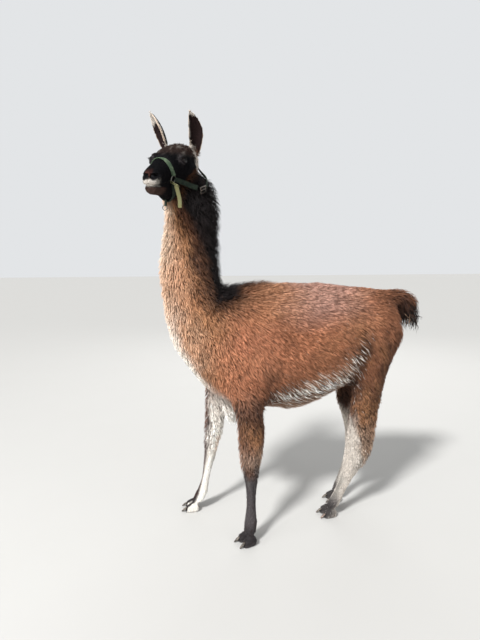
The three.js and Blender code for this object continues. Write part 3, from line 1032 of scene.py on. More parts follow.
    def set_head_build(self) -> None:
        """Sets the coat of the face, crown, cheeks and ears."""
        x, y, z = self.hide.face.T
        crown = self.head * ramp(y, -0.085, -0.045) * ramp(z, -0.030, 0.010)
        jowl = self.head * ramp(y, -0.10, -0.02) * ramp(z, 0.00, -0.05)
        self.lead(crown, depth=0.014, length=0.030, width=0.0030, curl=0.0030, cover=2.6,
                  free=0.25, pale=0.03, dark=0.2)
        self.lead(jowl * (1 - crown), depth=0.009, length=0.018, width=0.0026, curl=0.0008,
                  cover=1.9)
        muzzle = self.head * ramp(y, -0.175, -0.225)
        self.lead(muzzle, depth=0.0025, length=0.0055, width=0.0016, cover=0.7)
        rim = self.ear_rim()
        self.lead(rim, length=0.0120, width=0.0014, cover=1.9, free=0.4)
        bare = 1 - np.minimum(ramp(self.lids, 3.0, 10.0), ramp(self.nostrils, 1.3, 1.9))
        seam = hill(z - Hide.mouth_line(y), 0, 0.0045) * ramp(y, -0.172, -0.190)
        self.lead(np.maximum(bare, seam) * self.head, cover=0.0)
        mirrored = np.stack([np.abs(x), y, z], axis=1)
        reach = np.linalg.norm(mirrored - EYE_PLACE, axis=1)
        self.lead(ramp(reach, 0.040, 0.024), depth=0.0025, length=0.0050, width=0.0013, cover=1.1)

    def strip_below_ear(self, side: int) -> Array:
        """Share of the pale tuft that hangs from the front of an ear's foot.

        Args:
            side: 1 for the left ear and -1 for the right one.

        Returns:
            One share for each point.
        """
        top = np.array([side * 0.048, -0.008, 0.026])
        way = np.array([side * 0.023, 0.004, -0.056])
        away = self.hide.face - top
        t = np.clip(away @ way / (way @ way), 0, 1)
        return hill(np.linalg.norm(away - t[:, None] * way, axis=1), 0, 0.021)

    def ear_place(self, name: str) -> tuple[Array, Array]:
        """Where the hide's points lie on an ear.

        Args:
            name: The ear's node.

        Returns:
            Place across its leaf, where its edges are at -1 and 1, and place along it, from
            0 at the foot to 1 at the tip.
        """
        pose = EAR_POSES[name]
        x, _, z = self.anatomy.ears[name].local(self.hide.sheet.points).T
        along = z / EAR_LENGTH
        t = np.clip(along, 0.0, EAR_LEAF.end)
        leaf = (EAR_LEAF.foot + (1 - EAR_LEAF.foot) * t) ** EAR_LEAF.belly
        half = pose.half * np.sin(math.pi * leaf) ** EAR_LEAF.taper
        across = (x + pose.side * pose.hook * np.maximum(0, 2 * t - 1) ** 2) / half
        near = (along > -0.05) & (along < 1.1) & (np.abs(x) < 0.06)
        return np.where(near, across, 0.0), np.where(near, along, 0.0)

    def ear_rim(self) -> Array:
        """Share from 0 to 1 of how near each point is to the free edge of its ear.

        Returns:
            One share for each point.
        """
        rim = np.zeros(len(self.ear))
        for name in EAR_POSES:
            across, along = self.ear_place(name)
            rim = np.maximum(rim, ramp(np.abs(across), 0.84, 0.98))
            rim = np.maximum(rim, ramp(along, 0.93, 0.97))
        return rim * self.ear

    def sweep(self, mask: Array, direction: Array | Sequence[float]) -> None:
        """Adds one direction to the lie of the hair, weighted by a mask."""
        way = unit(np.broadcast_to(np.asarray(direction, float), self.lie.shape))
        self.lie = self.lie + way * mask[:, None]

    def comb(self) -> None:
        """Sets the direction in which the hair lies."""
        _, y, z = self.hide.body.T
        self.lie = np.zeros_like(self.hide.body)
        zero = np.zeros(len(y))
        side = np.abs(self.normals[:, 0])
        fall = -0.10 - 0.42 * side - 0.75 * ramp(y, 0.30, 0.46) * ramp(z, 1.04, 0.95)
        self.sweep(self.trunk * (1 - self.chest), np.stack([zero, zero + 1, fall], axis=1))
        self.sweep(self.shoulder * 1.5, (0, 0.55, -1))
        self.sweep(self.chest * 2.5,
                   np.stack([zero, 0.30 + 0.35 * self.ahead, zero - 1], axis=1))
        self.sweep(self.neck * (1 - self.chest),
                   np.stack([zero, 0.22 + 0.2 * self.ahead, zero - 1], axis=1))
        self.sweep(self.fringe * ramp(y, 0.20, 0.28) * 3, (0, -0.30, -1))
        self.sweep(self.fringe * ramp(y, 0.28, 0.18) * 2, (0, 1, -0.65))
        self.sweep(self.fore, (0, 0.20, -1))
        self.sweep(self.hind * ramp(z, 0.40, 0.50), (0, 0.50, -1))
        self.sweep(self.hind * ramp(z, 0.50, 0.40), (0, 0.15, -1))
        self.sweep(self.foot * 2, (0, -0.6, -1))
        bend = ramp(y, 0.55, 0.62)
        self.sweep(self.tail * 2, np.stack([zero, 1 - 0.7 * bend, -0.05 - bend], axis=1))
        self.sweep(self.tail * ramp(self.down, 0.1, 0.6) * 3, (0, -0.35, -1))
        self.comb_head()
        stray = np.stack([noise(self.hide.body, 0.045, seed) for seed in (3, 4, 5)], axis=1)
        lie = unit(self.lie) + stray * np.clip(self.curl * 90, 0.08, 0.5)[:, None]
        self.flow = self.flat(self.hide.sheet.spread(self.flat(lie), 3))

    def comb_head(self) -> None:
        """Adds the lie of the hair on the head and ears."""
        x, _, z = self.hide.face.T
        cheek = ramp(z, -0.03, -0.10)
        back = np.stack([0.25 * x / EYE_PLACE[0], 0 * x + 1, 0.10 - 0.45 * cheek], axis=1)
        self.sweep(self.head * 2, self.anatomy.head.direction(back))
        for side in (1, -1):
            hanging = self.anatomy.head.direction(np.array([[side * 0.25, 0.2, -1.0]]))
            self.sweep(self.strip_below_ear(side) * 6, hanging)
        for name, axes in self.anatomy.ears.items():
            near = self.ear * (np.sign(x) == EAR_POSES[name].side)
            self.sweep(near * 2, axes.direction(np.array([[0, 0, 1.0]])))

    def flat(self, vectors: Array) -> Array:
        """Unit vectors laid flat on the hide."""
        out = unit(self.normals)
        return unit(vectors - out * (vectors * out).sum(axis=1, keepdims=True))

    def lay(self, shade: Shade, mask: Array) -> None:
        """Paints a colour over the coat by a mask."""
        self.colour = mix(self.colour, linear(shade.value), np.clip(mask, 0, 1))

    def paint(self) -> None:
        """Sets the colour of the coat, region by region."""
        points = self.hide.body
        self.patchy = noise(points, 0.11, 21)
        self.colour = np.tile(linear(Shade.CHESTNUT.value), (len(points), 1))
        self.paint_trunk()
        self.paint_underside()
        self.paint_neck()
        self.paint_forelegs()
        self.paint_hindlegs()
        self.paint_tail()
        self.paint_head()
        self.paint_ears()

    def paint_trunk(self) -> None:
        """Chestnut back and sides in long streaks of tone, the pale ones painted sheen, with
        painted sheen over the upper back and a tan chest.
        """
        x, y, z = self.hide.body.T
        trunk = self.trunk
        wool = np.clip(trunk + self.neck, 0, 1)
        # Long streaks along the lie of the hair: the pale orange ones on the upper trunk are
        # painted sheen, the brown ones darker tone.
        streaks = noise(self.hide.body * (1.0, 0.30, 1.0), 0.045, 26)
        self.lay(Shade.ORANGE, trunk * ramp(streaks, 0.0, 0.7) * ramp(z, 0.70, 0.80) * 0.70)
        self.lay(Shade.BROWN, trunk * ramp(streaks, -0.1, -0.8) * 0.60)
        self.lay(Shade.RUST, trunk * ramp(y, 0.05, -0.2) * ramp(z, 0.98, 0.85) * 0.7)
        # Painted sheen over the upper back.
        self.lay(Shade.SADDLE, trunk * ramp(z, 0.90, 1.02) * ramp(y, -0.10, 0.05)
                 * ramp(y, 0.42, 0.28) * 0.75)
        self.lay(Shade.ORANGE, trunk * hill(y, -0.03, 0.07) * ramp(z, 0.97, 1.03) * 0.7)
        self.lay(Shade.BROWN, trunk * ramp(y, 0.36, 0.49) * ramp(z, 1.00, 0.88) * 0.40)
        self.lay(Shade.UMBER, trunk * ramp(y + 0.03 * self.mottle, 0.42, 0.48)
                 * ramp(z, 0.95, 1.00) * 0.5)
        self.lay(Shade.BROWN, trunk * ramp(self.above_fringe, 0.16, 0.05) * 0.30)
        gold = ramp(y + 0.05 * self.patchy, -0.24, -0.36) \
            * (trunk + self.neck * ramp(z, 1.05, 0.95))
        self.lay(Shade.GOLD, gold * 0.85)
        tan = ramp(y + 0.03 * self.mottle, -0.31, -0.41) * ramp(z, 1.02, 0.92)
        self.lay(Shade.TAN, tan * wool * 0.75)
        # Dark partings in the lower neck's wool: partly the darker wool beneath, partly painted
        # shade in the folds.
        shaded_partings = ramp(np.abs(noise(self.hide.body * (1.0, 0.6, 1.5), 0.05, 23)), 0.14, 0.0)
        ruffled = hill(z, 0.87, 0.07) * hill(y, -0.37, 0.05) * ramp(self.outward, 0.2, 0.6)
        self.lay(Shade.UMBER, shaded_partings * ruffled * wool * 0.85)
        band = ramp(np.abs(x) + 0.02 * self.mottle, 0.105, 0.070) * ramp(y, -0.30, -0.36)
        self.lay(Shade.WHITE, band * wool * ramp(z, 1.10, 0.95) * 0.9)

    def paint_underside(self) -> None:
        """Beige belly, white brisket, a pale, streaky fringe with dark gaps, and painted shade in
        the groin, behind the elbow and in the armpit.
        """
        _, y, z = self.hide.body.T
        trunk = self.trunk
        # An orange patch on the flank before the hip: partly golden hair, partly painted highlight.
        self.lay(Shade.ORANGE, trunk * hill(y, 0.30, 0.07) * hill(z, 0.93, 0.06)
                 * ramp(self.outward, 0.2, 0.6) * 0.7)
        self.lay(Shade.BEIGE, ramp(self.down, 0.45, 0.85) * trunk * ramp(y, -0.12, 0.0) * 0.9)
        self.lay(Shade.BEIGE, self.fringe * 0.75)
        self.lay(Shade.UMBER, self.fringe * ramp(y, 0.20, 0.30) * 0.55)
        # Painted shade in the hollow between the top of the fringe and the thigh, with more dark
        # locks there.
        groin_shade = np.clip(trunk + self.hind, 0, 1) * ramp(self.above_fringe, -0.02, -0.07) \
            * ramp(y, 0.22, 0.30) * ramp(y, 0.37, 0.32) * ramp(z, 0.52, 0.60)
        self.lay(Shade.UMBER, groin_shade * 0.9)
        self.lead(groin_shade, pale=0.10, dark=0.30)
        self.lay(Shade.WHITE, self.brisket)
        # Painted shade in the crease behind the elbow, black at its lowest.
        crease = trunk * hill(y + 0.074 + 0.20 * (z - 0.651), 0, 0.024) * ramp(z, 0.82, 0.77) \
            * ramp(self.outward, 0.1, 0.5)
        self.lay(Shade.UMBER, crease)
        self.lay(Shade.BLACK, crease * ramp(z, 0.76, 0.70) * 0.8)
        # Painted shade in the armpit, clear of the white brisket.
        armpit_shade = trunk * ramp(z, 0.70, 0.62) * hill(y, -0.12, 0.05)
        self.lay(Shade.UMBER, armpit_shade * (1 - self.brisket) * 0.6)

    def paint_neck(self) -> None:
        """Tan front, brown streaks behind it, and a black nape and withers."""
        z = self.hide.body[:, 2]
        where = self.across_neck + 0.10 * self.mottle + 0.05 * self.patchy
        heights = (0.90, 1.00, 1.10, 1.20, 1.30, 1.38, 1.45)
        cream = np.interp(z, heights, (0.08, 0.05, 0.04, 0.05, 0.08, 0.12, 0.12))
        gold = np.interp(z, heights, (0.80, 0.58, 0.45, 0.39, 0.31, 0.22, 0.16))
        black = np.interp(z, heights, (0.98, 0.93, 0.84, 0.70, 0.54, 0.39, 0.29))
        neck = self.neck * (1 - self.chest * 0.6)
        self.lay(Shade.GOLD, neck)
        self.lay(Shade.TAN, neck * ramp(where, gold * 0.95, gold * 0.35))
        self.lay(Shade.CREAM, neck * ramp(where, cream + 0.05, cream - 0.08) * 0.8)
        brown = neck * ramp(where, gold - 0.04, gold + 0.06)
        self.lay(Shade.BROWN, brown)
        self.lay(Shade.UMBER, brown * ramp(self.patchy + self.mottle, 0.6, -0.4) * 0.7)
        self.lay(Shade.BLACK, neck * ramp(where, black - 0.08, black + 0.08)
                 * ramp(z, 0.93, 1.00))
        self.lay(Shade.BLACK, self.withers)
        self.lead(brown * ramp(where, black + 0.05, black - 0.05), dark=0.38, tipped=0.6)
        self.lead(neck * ramp(where, gold, gold - 0.2), dark=0.0)

    def paint_forelegs(self) -> None:
        """Brown outside, white inside, dark knees and smoky shins."""
        x, _, z = self.hide.body.T
        leg = self.fore
        left = x > 0
        ragged = 0.35 * self.mottle
        fringed = z + 0.03 * self.mottle
        self.lay(Shade.BROWN, leg * ramp(fringed, 0.67, 0.60) * 0.85)
        self.lay(Shade.UMBER, leg * hill(fringed, 0.56, 0.045) * 0.55)
        self.lay(Shade.UMBER, leg * ramp(self.ahead + ragged, 0.0, -0.5) * ramp(z, 0.66, 0.58)
                 * 0.65)
        self.lay(Shade.GOLD, leg * hill(z, 0.475, 0.045) * ramp(self.outward + ragged, 0.2, 0.7)
                 * 0.7)
        knee = leg * hill(fringed, 0.435, 0.016) * ramp(self.outward + self.ahead * 0.6, 0.1, 0.6)
        self.lay(Shade.PLUM, knee * 0.9)
        self.lay(Shade.DUST, leg * hill(z, 0.375, 0.042) * ramp(self.outward, -0.2, 0.3) * 0.95)
        inner = leg * ramp(self.outward + ragged * 0.5, -0.15, -0.5) * ramp(z, 0.80, 0.66)
        self.lay(Shade.WHITE, inner)
        self.lead(inner, dark=0.0, tipped=0.0, curl=0.0020)
        front_stripe = leg * left * hill(self.outward, -0.25, 0.22) * ramp(self.ahead, 0.5, 0.9) \
            * ramp(z, 0.44, 0.48) * ramp(z, 0.62, 0.56)
        self.lay(Shade.WHITE, front_stripe)
        self.lay(Shade.TAN, self.knee_back * 0.9)
        shin = leg * ramp(z + 0.030 * self.mottle, 0.340, 0.295)
        self.lay(Shade.SMOKE, shin * ramp(self.outward, -0.55, -0.1) * (left | (self.ahead > 0.2)))
        self.lay(Shade.SOOT, leg * hill(fringed, 0.318, 0.012) * ramp(self.outward, -0.3, 0.3)
                 * 0.55)
        streaks = noise(self.hide.body * (1.0, 1.0, 0.25), 0.010, 24)
        self.lay(Shade.SOOT, shin * left * ramp(streaks, 0.1, 0.6) * 0.6)
        self.lay(Shade.ASH, shin * left * ramp(streaks, -0.25, -0.7) * ramp(self.ahead, 0.1, 0.7)
                 * 0.7)
        pastern = shin * ramp(z, 0.14, 0.09)
        facing_out = ramp(self.outward + self.ahead * 0.8, -0.45, 0.1)
        self.lay(Shade.SMOKE, pastern * np.where(left, 1.0, facing_out))
        self.lay(Shade.SOOT, leg * ramp(z, 0.10, 0.05) * ramp(self.down, 0.4, -0.2) * 0.55
                 * np.where(left, 1.0, facing_out))
        edge = leg * (~left) * ramp(self.ahead + ragged, 0.60, 0.92) * ramp(z, 0.72, 0.62)
        self.lay(Shade.PLUM, edge * 0.9)
        self.lay(Shade.PLUM, leg * (~left) * hill(z, 0.350, 0.012) * ramp(self.ahead, 0.1, 0.6)
                 * 0.7)

    def paint_hindlegs(self) -> None:
        """Chestnut thigh darkened by painted shade, dark strands with painted shade between the
        tufts, golden gaskin, white in front and tan behind.
        """
        z = self.hide.body[:, 2]
        leg = self.hind
        ragged = 0.35 * self.mottle
        fringed = z + 0.03 * self.mottle
        rear = ramp(self.ahead + ragged, 0.0, -0.6)
        streaks = noise(self.hide.body * (1.0, 1.0, 0.45), 0.020, 27)
        thigh = leg * ramp(z, 0.95, 0.78) * ramp(z, 0.42, 0.52)
        self.lay(Shade.BROWN, leg * ramp(z, 0.97, 0.72) * 0.95)
        self.lay(Shade.UMBER, leg * rear * ramp(z, 0.40, 0.60) * 0.70)
        # The thigh darkened as painted shade; its dark streaks are dark strands and painted shade
        # between the tufts, its gold streaks golden tips.
        self.lay(Shade.UMBER, thigh * 0.25)
        self.lay(Shade.BLACK, thigh * ramp(streaks, -0.10, -0.60) * 0.65)
        self.lay(Shade.GOLD, thigh * ramp(streaks, 0.10, 0.65) * 0.60)
        self.lay(Shade.UMBER, leg * ramp(self.mottle, 0.0, 0.5) * ramp(z, 0.85, 0.70) * 0.55)
        self.lay(Shade.GOLD, leg * hill(fringed, 0.50, 0.10) * ramp(self.outward, 0.0, 0.5)
                 * 0.55)
        inner = leg * ramp(self.outward + ragged * 0.5, -0.1, -0.5)
        # The inside of the upper leg darker: dark hair and painted shade between the legs.
        self.lay(Shade.UMBER, inner * ramp(z, 0.45, 0.55) * 0.9)
        self.lay(Shade.BEIGE, leg * ramp(fringed, 0.49, 0.40) * 0.85)
        self.lay(Shade.TAN, leg * rear * ramp(fringed, 0.49, 0.42) * 0.50)
        self.lay(Shade.UMBER, leg * hill(fringed, 0.325, 0.014) * rear * 0.7)
        self.lay(Shade.GREY_WHITE, leg * self.hind_white)
        self.lay(Shade.GREY_WHITE, inner * ramp(z, 0.50, 0.42))
        self.lay(Shade.GREY_WHITE, leg * rear * ramp(z, 0.27, 0.20) * 0.8)
        shadow = leg * ramp(self.ahead + self.outward * 0.3, 0.45, 0.9) * ramp(z, 0.24, 0.16)
        self.lay(Shade.ASH, shadow * 0.9)
        self.lay(Shade.SMOKE, leg * ramp(z, 0.12, 0.07) * ramp(self.ahead, -0.5, 0.1) * 0.9)
        self.lay(Shade.SOOT, leg * ramp(z, 0.075, 0.045) * ramp(self.down, 0.4, -0.2) * 0.5)

    def paint_tail(self) -> None:
        """Dark brown over, black under and in the dock, partly painted shade, with a tan tuft at
        its lowest end.
        """
        z = self.hide.body[:, 2]
        self.lay(Shade.BROWN, self.tail * 0.95)
        self.lay(Shade.UMBER, self.tail * ramp(self.mottle, -0.2, 0.3) * 0.85)
        # The underside, the hanging end and the dock are black: black hair and painted shade under
        # the tail.
        self.lay(Shade.BLACK, self.tail * ramp(self.down + 0.3 * self.mottle, -0.30, 0.05))
        self.lay(Shade.BLACK, self.tail * ramp(z + 0.01 * self.mottle, 0.985, 0.960))
        self.lay(Shade.BLACK, self.dock)
        self.lay(Shade.TAN, self.tail * ramp(z, 0.925, 0.905) * ramp(self.ahead, -0.3, 0.3))

    def paint_head(self) -> None:
        """Black face, brown streaked crown, ashen lips, a reddish nose, and nostrils black inside,
        partly painted shade.
        """
        x, y, z = self.hide.face.T
        head = self.head
        speck = noise(self.hide.face, 0.012, 31)
        streaks = noise(self.hide.face * (1.0, 0.30, 1.0), 0.010, 33)
        self.lay(Shade.SOOT, head)
        brow = head * ramp(z, -0.012, 0.012) * ramp(y, -0.165, -0.120)
        self.lay(Shade.CROWN, brow * (0.65 + 0.35 * streaks))
        self.lay(Shade.ASH, brow * ramp(streaks, 0.25, 0.75) * 0.40)
        ahead_of_eye = ramp(y, EYE_PLACE[1] + 0.004, EYE_PLACE[1] - 0.012)
        self.lay(Shade.SMOKE, head * hill(self.lids, 26, 14) * ahead_of_eye * 0.6)
        self.lay(Shade.PLUM, head * ramp(y, 0.02, 0.06) * ramp(z, -0.02, -0.06) * 0.5)
        lip = ramp(z + 0.006 * speck, -0.095, -0.103) * ramp(z, -0.131, -0.125) \
            * ramp(y + 0.01 * speck, -0.236, -0.260)
        self.lay(Shade.ASH, head * lip)
        self.lay(Shade.GREY_WHITE, head * lip * ramp(y, -0.262, -0.276) * 0.8)
        self.lay(Shade.CHIN, head * ramp(z, -0.126, -0.134) * ramp(y, -0.19, -0.225) * 0.85)
        nose = ramp(np.abs(x + 0.006), 0.020, 0.010) * ramp(y, -0.246, -0.260) \
            * hill(z, -0.080, 0.016)
        self.lay(Shade.NOSTRIL, head * nose * (0.55 + 0.3 * speck))
        # The nostrils black inside: dark skin and painted shade in the pits.
        self.lay(Shade.SOOT, head * ramp(self.nostrils, 1.5, 1.1))

    def paint_ears(self) -> None:
        """Dark ears with cream rims and tips, brown inside, and pale hair at their feet."""
        speck = noise(self.hide.face, 0.012, 32)
        self.lay(Shade.SOOT, self.ear)
        for name, pose in EAR_POSES.items():
            across, along = self.ear_place(name)
            medial = -pose.side * across
            facing = -self.normals @ self.anatomy.ears[name].turn[:, 1]
            self.lay(Shade.PLUM, self.ear * (along > 0) * ramp(facing, 0.0, 0.5) * 0.30)
            tip = self.ear * ramp(along + 0.04 * speck, pose.pale_from, pose.pale_from + 0.05)
            self.lay(Shade.GREY_WHITE, tip * ramp(facing, -0.3, 0.2) * 0.9)
            edge = self.ear * ramp(medial + 0.2 * speck, 0.66, 0.88) * (along > 0.02)
            self.lay(Shade.GREY_WHITE, edge * 0.75)
            tuft = self.ear * ramp(along, 0.34, 0.16) * ramp(medial, -0.2, 0.4)
            self.lay(Shade.GREY_WHITE, tuft * (along > 0) * 0.85)
        self.lay(Shade.CREAM, ramp(self.ear_rim() + 0.3 * speck, 0.45, 0.9) * 0.7)
        for pose in EAR_POSES.values():
            strip = self.strip_below_ear(pose.side)
            self.lay(Shade.GREY_WHITE, ramp(strip + 0.2 * speck, 0.2, 0.5) * 0.85)
            self.lead(strip, length=0.024, width=0.0022, depth=0.015, cover=3.2, free=0.10)


# ---- locks of hair ----
@dataclass
class Strands:
    """Many locks at once: their paths over the skin and their build, one row for each."""

    places: Array  # root, middle and end of each path, as rows of three points
    normals: Array  # the skin's normals at those three
    width: Array
    height: Array  # of the tip over the skin
    curl: Array
    phase: Array
    rings: int
    sink: float = 0.0008  # how deep the roots stand in the skin
    twist: float = 5.2  # turn of the curl along a lock, in radians
    rise: float = 1.7  # how soon a lock rises to its height
    foot: float = 0.62  # share of the full width at the root
    taper: tuple[float, float] = (0.72, 1.6)  # loss of width by the end, and how late
    thickness: float = 0.8  # of the half width

    def along(self, three: Array, t: float) -> Array:
        """A smooth path through three rows of points, at t from 0 to 1."""
        return (three[:, 0] * ((1 - t) * (1 - 2 * t)) + three[:, 1] * (4 * t * (1 - t))
                + three[:, 2] * (t * (2 * t - 1)))

    def centre(self, t: float) -> tuple[Array, Array, Array]:
        """The middle of every lock at t from 0 to 1, with its outward and sideways axes.

        Args:
            t: Place along the locks.

        Returns:
            Places, outward axes and sideways axes, one row for each lock.
        """
        out = unit(self.along(self.normals, t))
        side = unit(np.cross(out, self.places[:, 2] - self.places[:, 0]))
        rise = self.height * (1 - (1 - t) ** self.rise) - self.sink * (1 - t)
        swing = np.sin(self.phase + t * self.twist) - np.sin(self.phase)
        lift = np.cos(self.phase + t * self.twist) - np.cos(self.phase)
        middle = self.along(self.places, t) + out * (rise + 0.3 * self.curl * t * lift)[:, None] \
            + side * (self.curl * t * swing)[:, None]
        return middle, out, side

    def shape(self) -> tuple[Array, Array, Array]:
        """Builds the locks as closed three-sided tapers.

        Returns:
            Points, triangles, and how far along its lock each point lies, from 0 to 1.
        """
        count = len(self.width)
        size = 3 * self.rings + 1
        points = np.zeros((count, size, 3))
        share = np.zeros((count, size))
        for ring in range(self.rings):
            t = ring / self.rings
            middle, out, side = self.centre(t)
            loss, late = self.taper
            half = 0.5 * self.width * (self.foot if ring == 0 else 1 - loss * t**late)
            first = 3 * ring
            points[:, first] = middle + side * half[:, None]
            points[:, first + 1] = middle - side * half[:, None]
            points[:, first + 2] = middle + out * (half * self.thickness)[:, None]
            share[:, first:first + 3] = t
        points[:, -1] = self.centre(1.0)[0]
        share[:, -1] = 1.0
        return points.reshape(-1, 3), self.faces(count, size), share.ravel()

    def faces(self, count: int, size: int) -> Array:
        """Triangles of all the locks, each with size points.

        Args:
            count: Number of locks.
            size: Number of points in each.

        Returns:
            The triangles.
        """
        one = [(0, 2, 1)]
        for ring in range(self.rings - 1):
            base = 3 * ring
            for i, j in ((0, 1), (1, 2), (2, 0)):
                one += [(base + i, base + j, base + 3 + j), (base + i, base + 3 + j, base + 3 + i)]
        base = 3 * (self.rings - 1)
        one += [(base + i, base + j, size - 1) for i, j in ((0, 1), (1, 2), (2, 0))]
        pattern = np.array(one)
        return (pattern[None] + (np.arange(count) * size)[:, None, None]).reshape(-1, 3)


def triangles_in(rings: Array) -> Array:
    """Number of triangles in a lock with that many rings."""
    return 6 * rings - 2


@dataclass
class Coat:
    """The locks of hair over the whole hide, joined into one piece for each region."""

    hide: Hide
    unwrap: Array  # places of each triangle's corners on the hide's map
    seed: int = 11
    triangle_limit: int = 1_460_000
    quick_share: float = 0.4
    patch: float = 0.003
    floor_gap: float = 0.0005
    grain_rows: int = 97  # rows of the grain that locks draw on in turn
    ring_curls: tuple[float, float] = (0.0018, 0.0052)  # curls past which a lock has more rings
    trunk_cuts: tuple[float, float] = (-0.15, 0.19)  # where the trunk's pieces meet
    lengths: tuple[float, float] = (0.70, 1.15)  # spread of the locks' lengths
    widths: tuple[float, float] = (0.75, 1.25)
    heights: tuple[float, float] = (0.5, 0.95)
    curls: tuple[float, float] = (0.5, 1.1)
    under_strap: float = 0.30  # share of its height that a lock keeps under a strap

    def build(self) -> list[Object]:
        """Grows every lock and joins them by region.

        Returns:
            The pieces, in the order of their names.
        """
        self.rng = np.random.default_rng(self.seed)
        self.scatter()
        self.trace()
        self.tint()
        made = []
        for name in np.unique(self.names):
            made.append(self.join(str(name), np.nonzero(self.names == name)[0]))
        return made

    def at_roots(self, values: Array) -> Array:
        """Values of the hide's points, blended at the roots.

        Args:
            values: Values at the hide's points, one row each.

        Returns:
            Values at the roots, one row each.
        """
        corners = values[self.hide.sheet.triangles[self.faces]]
        weights = self.weights if values.ndim == 1 else self.weights[:, :, None]
        return (corners * weights).sum(axis=1)

    def scatter(self) -> None:
        """Picks the roots, closer together where locks are small or the cover is thick."""
        sheet, plan = self.hide.sheet, self.hide.plan
        density = plan.cover / (0.5 * plan.width * plan.length)
        share = density[sheet.triangles].mean(axis=1) * sheet.areas
        rings = 2 + sum((plan.curl > curl).astype(int) for curl in self.ring_curls)
        cost = (share * triangles_in(rings[sheet.triangles[:, 0]])).sum()
        LOG.info("coat wants %.0f triangles", cost)
        self.thin = min(1.0, self.triangle_limit / cost) * 1
        running = np.cumsum(share * self.thin)
        count = int(running[-1])
        marks = (np.arange(count) + self.rng.random(count)) * (running[-1] / count)
        self.faces = np.minimum(np.searchsorted(running, marks), len(share) - 1)
        a = np.sqrt(self.rng.random(count))
        b = self.rng.random(count)
        self.weights = np.stack([1 - a, a * (1 - b), a * b], axis=1)
        first = sheet.triangles[self.faces, 0]
        self.rings = rings[first]
        self.names = self.name_pieces(first)

    def name_pieces(self, first: Array) -> Array:
        """Name of the piece that each lock belongs to, from a point near its root.

        Args:
            first: Number of a point of the hide for each lock.

        Returns:
            A name for each lock.
        """
        x, y, _ = self.hide.body[first].T
        region = self.hide.share[first].argmax(axis=1)
        across = np.where(region == Region.HEAD.value, self.hide.face[first, 0], x)
        sides = np.where(across > 0, "_left", "_right")
        sides = np.where(np.isin(region, [whole.value for whole in WHOLE_PIECES]), "", sides)
        trunk = np.select([y < self.trunk_cuts[0], y < self.trunk_cuts[1]],
                          ["shoulder", "barrel"], "rump")
        parts = np.where(region == Region.TRUNK.value, trunk, np.array(PIECE_NAMES)[region])
        return np.char.add(np.char.add("coat_", parts), sides)

    def trace(self) -> None:
        """Lays each lock's path over the skin from its root along the lie of the coat."""
        sheet, plan = self.hide.sheet, self.hide.plan
        root = self.at_roots(sheet.points)
        out = unit(self.at_roots(sheet.normals))
        count = len(root)
        width, length, curl, depth, free, lift = (
            self.at_roots(getattr(plan, name))
            for name in ("width", "length", "curl", "depth", "free", "lift"))
        length = length * self.rng.uniform(*self.lengths, count)
        drift = np.stack([noise(root, 0.020, seed) for seed in (41, 42, 43)], axis=1)
        loose = np.stack([self.rng.normal(0, 1, count) for _ in range(3)], axis=1)
        stray = drift * np.minimum(0.30 * length, curl * 2.2 + 0.06 * length)[:, None] \
            + loose * (0.07 * length)[:, None]
        stray -= out * (stray * out).sum(axis=1, keepdims=True)
        flow = unit(self.at_roots(plan.flow))
        squeezed = root - 0.8 * flow * (root * flow).sum(axis=1, keepdims=True)
        self.streak = noise(squeezed, 0.010, 51)
        tree = BVHTree.FromPolygons(sheet.points.tolist(), sheet.triangles.tolist())
        places, normals = [root], [out]
        for share in (0.5, 1.0):
            guess = root + flow * (length * share)[:, None] + stray * share**1.5
            near, way = self.snap(tree, guess)
            far = np.linalg.norm(near - guess, axis=1) > 0.45 * length
            far |= (way * out).sum(axis=1) < 0
            near = np.where(far[:, None], guess, near)
            way = np.where(far[:, None], out, way)
            loose_end = (free * share)[:, None]
            places.append(near * (1 - loose_end) + guess * loose_end)
            normals.append(unit(way * (1 - 0.5 * loose_end) + out * 0.5 * loose_end))
        reach = self.rng.uniform(*self.heights, count) * (1 + 0.22 * self.streak)
        top = (depth + lift) * reach * self.under_straps(root)
        wide = width * self.rng.uniform(*self.widths, count) * min(1.5, self.thin ** -0.5)
        self.root = root
        self.locks = dict(places=np.stack(places, axis=1), normals=np.stack(normals, axis=1),
                          width=wide, height=top, curl=curl * self.rng.uniform(*self.curls, count),
                          phase=self.rng.uniform(0, 2 * math.pi, count))

    def snap(self, tree: BVHTree, points: Array) -> tuple[Array, Array]:
        """Nearest places on the hide and the normals there.

        Args:
            tree: Search tree over the hide's triangles.
            points: Places near the hide.

        Returns:
            The nearest places and their normals.
        """
        sheet = self.hide.sheet
        hits = [tree.find_nearest(point) for point in points.tolist()]
        places = np.array([hit[0] for hit in hits])
        faces = np.array([hit[2] for hit in hits])
        return places, unit(sheet.normals[sheet.triangles[faces]].sum(axis=1))

    def under_straps(self, root: Array) -> Array:
        """Share of their height that locks keep, lower near the halter.

        Args:
            root: Places of the roots.

        Returns:
            One share for each root.
        """
        share = np.ones(len(root))
        near_head = np.nonzero(root[:, 2] > 1.30)[0]
        tree, _ = tree_of((*STRAPS, "halter_buckle"))
        gap = np.array([tree.find_nearest(point)[3] for point in root[near_head].tolist()])
        share[near_head] = self.under_strap + (1 - self.under_strap) * ramp(gap, 0.006, 0.022)
        return share

    def tint(self) -> None:
        """Gives each lock its colour: the coat's own, or now and then a pale or dark one."""
        plan = self.hide.plan
        count = len(self.root)
        colour = self.at_roots(plan.colour)
        pale, dark, curl, self.tipped = (
            self.at_roots(getattr(plan, name)) for name in ("pale", "dark", "curl", "tipped"))
        draw = self.rng.random(count)
        strength = np.minimum(0.3 + pale * 1.4, 0.95)
        colour = mix(colour, linear(Shade.WHITE.value), strength * (draw < pale))
        colour = mix(colour, linear(Shade.UMBER.value), 0.75 * (draw > 1 - dark))
        clumps = (0.10 + 28 * curl) * self.streak + 0.12 * noise(self.root, 0.05, 52)
        glow = np.exp(self.rng.normal(0, 0.09, count)) * (1 + clumps)
        self.colour = np.clip(colour * glow[:, None], 0, 1)

